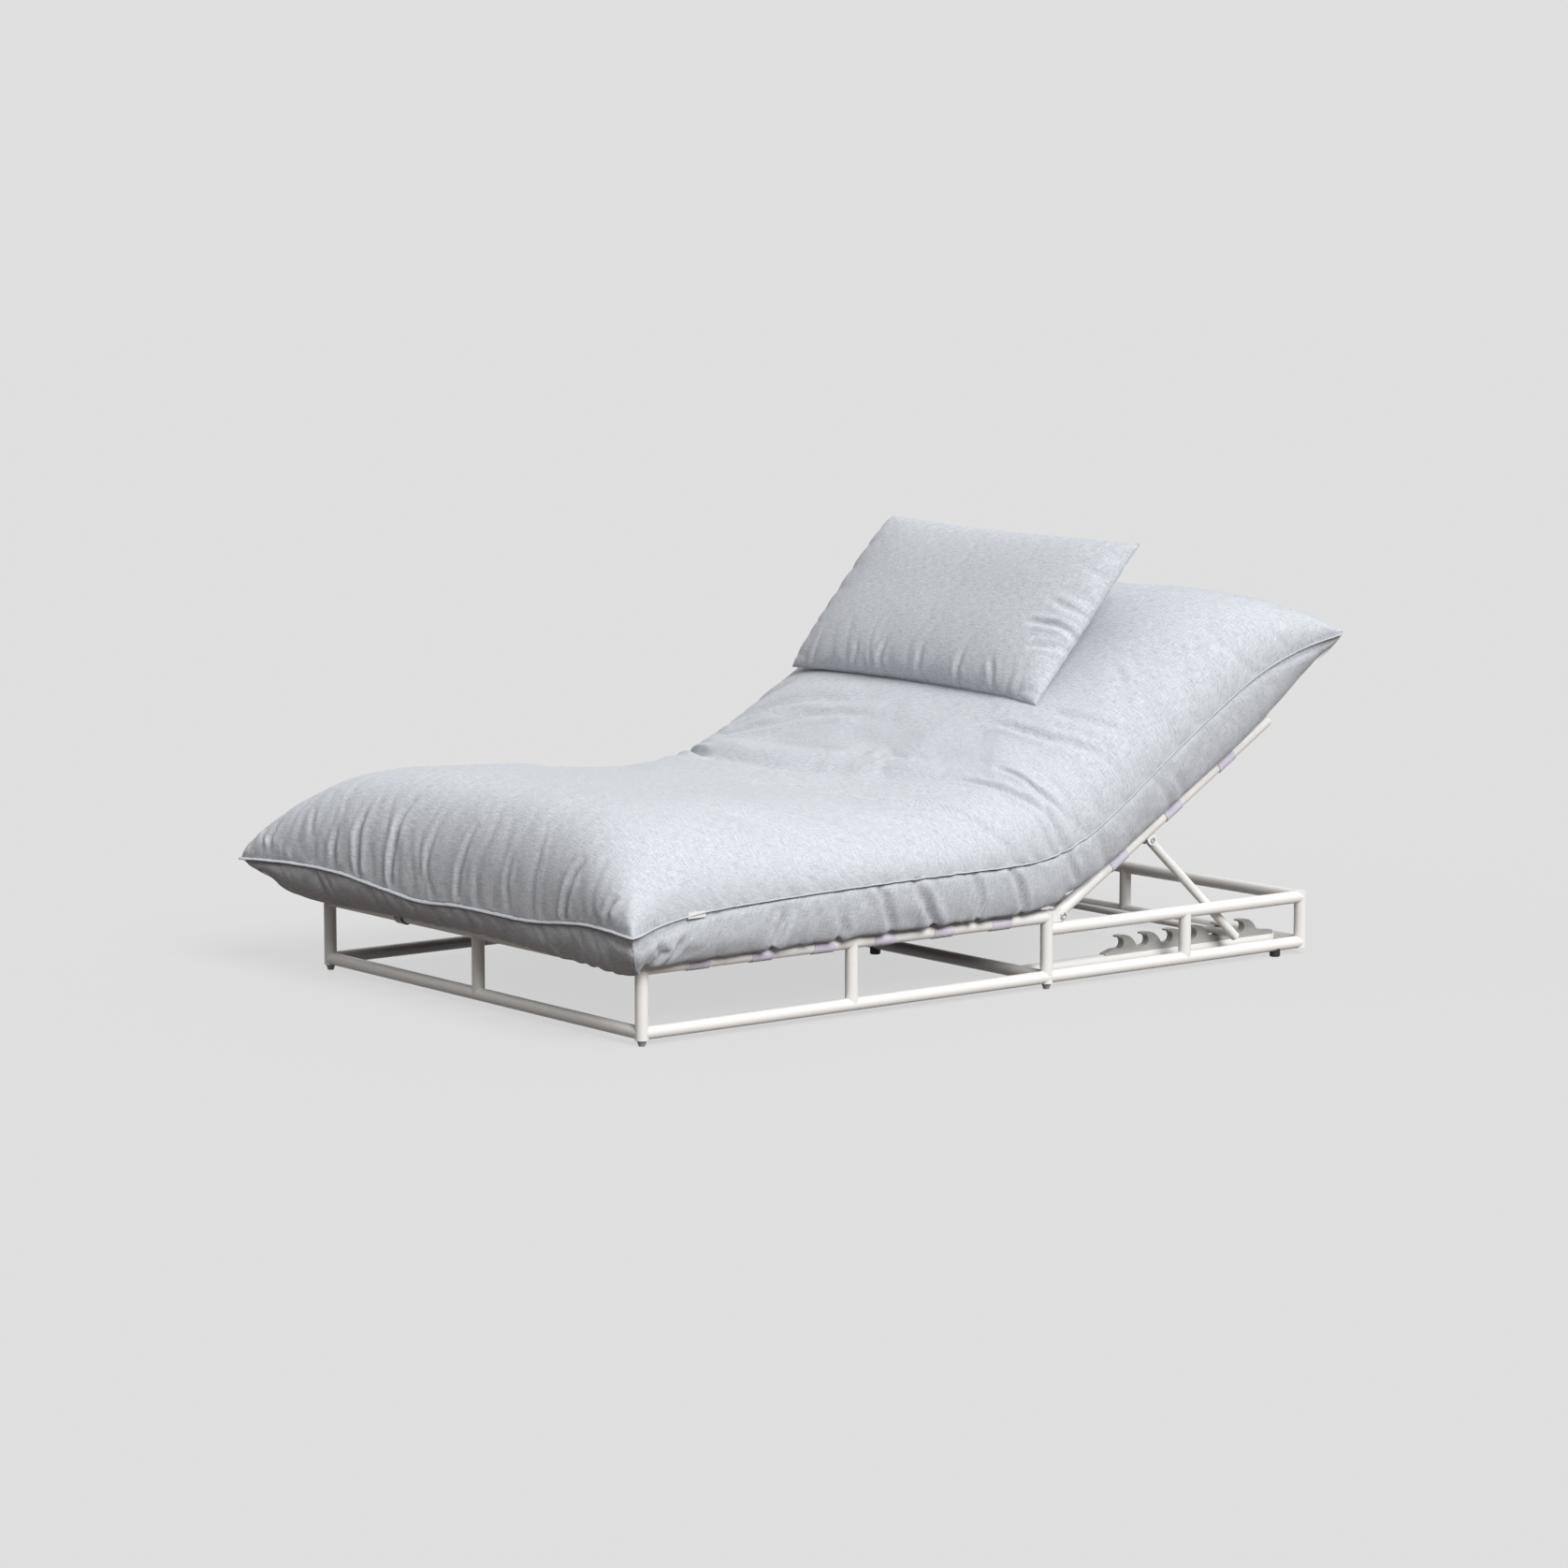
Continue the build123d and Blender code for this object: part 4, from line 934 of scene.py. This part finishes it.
def heather_cloth(name, width, length, gathers=0.0):
    """Slubby plain weave, its threads along the piece's own UV map, with fine gathers at the rim."""
    cloth = Finish(name)
    flat = cloth.stretch(cloth.place("UV"), (width, length, 1))
    weft = cloth.noise(cloth.stretch(flat, (38, 290, 1)), 1.0, detail=4.0, rough=0.7)
    warp = cloth.noise(cloth.stretch(flat, (290, 38, 1)), 1.0, detail=4.0, rough=0.7)
    fleck = cloth.noise(flat, 210.0, detail=3.0, rough=0.7)
    wash = cloth.noise(flat, 3.0, detail=3.0)
    tone = weft * 0.45 + warp * 0.30 + fleck * 0.25
    colour = cloth.mix(tone.above(0.38, 0.59), heather_dark, heather_light)
    colour = cloth.mix(fleck.above(0.58, 0.75) * 0.6, colour, heather_pale)
    colour = cloth.mix(wash.above(0.4, 0.7) * 0.06, colour, heather_dark)
    across = cloth.node("ShaderNodeSeparateXYZ", output=0, in0=flat)
    along = cloth.node("ShaderNodeSeparateXYZ", output=1, in0=flat)
    from_side = width / 2 - (across - width / 2).math("ABSOLUTE")
    from_end = length / 2 - (along - length / 2).math("ABSOLUTE")
    end_folds = (cloth.noise(cloth.stretch(flat, (19, 2.6, 1)), 1.0, detail=2.0) - 0.5).math("ABSOLUTE")
    side_folds = (cloth.noise(cloth.stretch(flat, (2.6, 17, 1)), 1.0, detail=2.0) - 0.5).math("ABSOLUTE")
    puckers = end_folds * (1 - from_end.above(0.03, 0.24)) + side_folds * (1 - from_side.above(0.02, 0.15))
    folded = cloth.bump(puckers, gathers)
    cloth.feed(
        Base_Color=colour,
        Roughness=0.86 + fleck * 0.1,
        Normal=cloth.bump(weft * 0.5 + warp * 0.5, 0.0011, normal=folded),
    )
    cloth.surface.inputs["Sheen Weight"].default_value = 0.18
    cloth.surface.inputs["Sheen Roughness"].default_value = 0.5
    return cloth


pad_cloth = heather_cloth("heather_cloth_of_pad", 1.62, flat_length, gathers=0.015)
pad_cloth.wear_on(pad)
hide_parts("mattress_seat", "mattress_back")
welt_cloth = heather_cloth("heather_cloth_of_seams", 0.03, 8.0)
welt_cloth.wear_on(pad_welt, *pad_darts)
for piece in (pad, pad_welt, *pad_darts):
    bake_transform(piece)


# The pillow. A flat case with no border: two panels sewn face to face, so its outline draws in between
# four pointed corners. It stands on its lower edge and leans on the backrest part of the pad.
pillow_box = [Vector(corner) for corner in nodes["pillow"].bound_box]
pillow_middle = sum(pillow_box, Vector()) / 8
pillow_width = 0.951
pillow_height = 0.487
pillow_rise = 0.080
pillow_side_draw = 0.012
pillow_edge_draw = 0.065
# How square each panel is across and along, and how steeply it falls to the seam
pillow_front_shape = (3.6, 3.0, 0.46)
pillow_rear_shape = (2.6, 2.4, 0.62)
pillow_tilt = recline + math.radians(18)
pillow_turn = math.radians(-1.5)
pillow_slope = np.array([0, math.cos(pillow_tilt), math.sin(pillow_tilt)])
pillow_across = np.array([math.cos(pillow_turn), 0, 0]) + pillow_slope * math.sin(pillow_turn)
pillow_up = pillow_slope * math.cos(pillow_turn) - np.array([math.sin(pillow_turn), 0, 0])
pillow_front = np.cross(pillow_across, pillow_up)


def pillow_swell(across, along, shape):
    """A panel's rise, as a share."""
    return ((1 - np.abs(across) ** shape[0]) * (1 - np.abs(along) ** shape[1])) ** shape[2]


def pillow_points(across, along, panel):
    """Where the cloth lies, for places from -1 to 1 across and along one panel."""
    width = pillow_width / 2 * (1 - pillow_side_draw * (1 - along**2))
    height = pillow_height / 2 * (1 - pillow_edge_draw * (1 - across**2))
    full = pillow_swell(across, along, pillow_front_shape)
    slack = pillow_swell(across, along, pillow_rear_shape)
    swell = np.where(panel > 0, full, slack)
    rise = panel * pillow_rise * swell
    points = (
        np.array(pillow_middle)
        + np.outer(across * width, pillow_across)
        + np.outer(along * height, pillow_up)
        + np.outer(rise, pillow_front)
    )
    return points, across * width, along * height


pillow_valleys = uneven(-0.50, 0.50, 0.055, 31)
pillow_side_valleys = uneven(-0.26, 0.26, 0.060, 32)
pillow_creases = (
    (((0.36, -0.055), (0.42, -0.042), (0.455, -0.040), (0.48, -0.055)), 0.007, 0.010),
    (((0.38, 0.020), (0.43, 0.010), (0.475, 0.012)), 0.008, 0.004),
    (((0.40, -0.115), (0.44, -0.100), (0.475, -0.085)), 0.008, 0.005),
    (((-0.22, -0.24), (-0.205, -0.20), (-0.21, -0.17)), 0.008, 0.003),
    (((-0.10, -0.24), (-0.11, -0.20), (-0.10, -0.16)), 0.008, 0.004),
    (((0.03, -0.24), (0.045, -0.20), (0.04, -0.16)), 0.008, 0.003),
    (((0.20, -0.24), (0.19, -0.20), (0.20, -0.16)), 0.008, 0.005),
    (((0.33, -0.235), (0.32, -0.20), (0.30, -0.16)), 0.008, 0.004),
)
edge_gathers = 0.006
end_gathers = 0.005
edge_wave = (0.010, 30, 9)
end_wave = (0.008, 30, 9)
edge_gather_reach = 0.07
end_gather_reach = 0.06
pillow_seam_start = 0.010
upper_edge_share = 0.4
pillow_share = 0.2


def pillow_folds(across, along, panel, x, up):
    """How far the pillow's cloth stands out of its smooth shape."""
    from_side = (1 - np.abs(across)) * pillow_width / 2
    from_edge = (1 - np.abs(along)) * pillow_height / 2
    lower_edge = upper_edge_share + (1 - upper_edge_share) * soft_step(-3 * along)
    sway = wander(from_edge, x, edge_wave)
    fade = np.exp(-((from_edge / edge_gather_reach) ** gather_fall))
    edge = pleats(x + sway, pillow_valleys, 33) * fade * soft_step(from_edge / pillow_seam_start)
    sway = wander(from_side, up, end_wave)
    fade = np.exp(-((from_side / end_gather_reach) ** gather_fall))
    side = pleats(up + sway, pillow_side_valleys, 34) * fade * soft_step(from_side / pillow_seam_start)
    made = edge_gathers * lower_edge * edge + end_gathers * side
    return made + np.where(panel > 0, 1, 0) * sum(crease(x, up, *fold) for fold in pillow_creases)


def pillow_kept(across, along, panel, x, up):
    """How much of the free folds stays: none on the side that lies on the pad."""
    return pillow_share if panel > 0 else 0.0


pillow, pillow_rim, pillow_rim_out, _, _ = sewn_case(
    "pillow_case", 150, 84, pillow_points, pillow_folds, pillow_kept
)
pillow_strip_size = 0.0022
pillow_seam = np.full(len(pillow_rim), pillow_strip_size)
pillow_welt = welt("pillow_welt", pillow_rim, pillow_rim_out, pillow_seam, pillow_seam)
pillow_cloth = heather_cloth("heather_cloth_of_pillow", 1.0, 0.55, gathers=0.010)
pillow_cloth.wear_on(pillow)
welt_cloth.wear_on(pillow_welt)
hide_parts("pillow")
for piece in (pillow, pillow_welt):
    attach(piece, "backrest")


# Tag and tie hook. The tag is a folded strip of plain white tape sewn into the seam; the hook on the
# underside, which holds the pad's tie, is glossy black plastic.
tape_white = (0.92, 0.91, 0.90, 1)
tape_shade = (0.80, 0.79, 0.77, 1)
tape = Finish("white_tape")
spot = tape.place()
rib = tape.node(
    "ShaderNodeTexWave", settings={"bands_direction": "Z"},
    Vector=spot, Scale=500.0, Distortion=0.8, Detail=1.0,
)
lint = tape.noise(spot, 300.0, detail=3.0)
tape.feed(
    Base_Color=tape.mix(rib * 0.4 + lint * 0.4, tape_white, tape_shade),
    Roughness=0.74 + lint * 0.15,
    Normal=tape.bump(rib, 0.0001),
)
tape.wear_on(nodes["mattress_tag"])

hook_black = (0.012, 0.012, 0.013, 1)
hook_worn = (0.035, 0.034, 0.034, 1)
gloss = Finish("black_gloss_plastic")
spot = gloss.place()
haze = gloss.noise(spot, 60.0, detail=4.0)
gloss.feed(
    Base_Color=gloss.mix(haze.above(0.5, 0.8), hook_black, hook_worn),
    Roughness=0.14 + haze * 0.12,
    Normal=gloss.bump(haze, 0.00005),
)
gloss.wear_on(nodes["tie_hook"])


# Floor and light. A plain pale floor that runs to a backdrop of the same tone and throws only a little
# warm light back; a soft lamp from the right, a wide one overhead and a faint sky.
floor_reach = 60
backdrop_tone = 0.745
glow_tone = 0.725
glow_share = 0.84
floor_grey = (0.76, 0.76, 0.76, 1)
floor_warm = (0.115, 0.094, 0.080, 1)
sky_faint = (0.075, 0.068, 0.064, 1)
floor = Finish("pale_floor")
bm = bmesh.new()
bmesh.ops.create_grid(bm, x_segments=1, y_segments=1, size=floor_reach)
mesh = bpy.data.meshes.new("floor")
bm.to_mesh(mesh)
bm.free()
ground = bpy.data.objects.new("floor", mesh)
bpy.context.scene.collection.objects.link(ground)


def seen_directly(tree):
    """1 where the camera looks, straight or through a gloss or a clear part, and 0 for other light."""
    path = tree.nodes.new("ShaderNodeLightPath")
    straight = Wire(tree, path.outputs["Is Camera Ray"])
    glossy = Wire(tree, path.outputs["Is Glossy Ray"])
    clear = Wire(tree, path.outputs["Is Transmission Ray"])
    return straight.math("MAXIMUM", straight.math("MAXIMUM", straight, glossy), clear)


glow = floor.node("ShaderNodeEmission", Color=(glow_tone, glow_tone, glow_tone, 1), Strength=1.0)
matt = floor.node("ShaderNodeBsdfDiffuse", Color=floor_grey)
dull = floor.node("ShaderNodeBsdfDiffuse", Color=floor_warm)
pale = floor.node("ShaderNodeMixShader", in0=glow_share, in1=matt, in2=glow)
shown = floor.node("ShaderNodeMixShader", in0=seen_directly(floor.tree), in1=dull, in2=pale)
floor.tree.links.new(shown.socket, floor.tree.nodes["Material Output"].inputs["Surface"])
floor.wear_on(ground)

world = bpy.data.worlds.new("sky")
bpy.context.scene.world = world
world.use_nodes = True
tree = world.node_tree
tree.nodes.clear()
plain = tree.nodes.new("ShaderNodeBackground")
plain.inputs["Color"].default_value = (backdrop_tone, backdrop_tone, backdrop_tone, 1)
faint = tree.nodes.new("ShaderNodeBackground")
faint.inputs["Color"].default_value = sky_faint
choice = tree.nodes.new("ShaderNodeMixShader")
tree.links.new(seen_directly(tree).socket, choice.inputs[0])
tree.links.new(faint.outputs[0], choice.inputs[1])
tree.links.new(plain.outputs[0], choice.inputs[2])
tree.links.new(choice.outputs[0], tree.nodes.new("ShaderNodeOutputWorld").inputs[0])

# Each lamp's name, strength, width in degrees and the way to it from the lounger
for name, energy, spread, source in (
    ("side_lamp", 3.05, 32, (0.785, -0.09, 0.61)),
    ("overhead_lamp", 1.35, 135, (0.0, 0.0, 1.0)),
):
    sun = bpy.data.lights.new(name, "SUN")
    sun.energy = energy
    sun.angle = math.radians(spread)
    lamp = bpy.data.objects.new(name, sun)
    bpy.context.scene.collection.objects.link(lamp)
    lamp.rotation_euler = Vector(source).to_track_quat("Z", "Y").to_euler()

lens = bpy.data.cameras.new("camera")
lens.sensor_width = 36.0
lens.lens = 99.144
lens.clip_end = 200.0
camera = bpy.data.objects.new("camera", lens)
bpy.context.scene.collection.objects.link(camera)
camera.location = (8.0772, -6.6261, 1.7398)
look_down = 7.204
look_left = 51.862
camera.rotation_euler = (math.radians(90 - look_down), 0, math.radians(look_left))
bpy.context.scene.camera = camera
bpy.context.scene.view_settings.view_transform = "Standard"

bpy.context.view_layer.update()
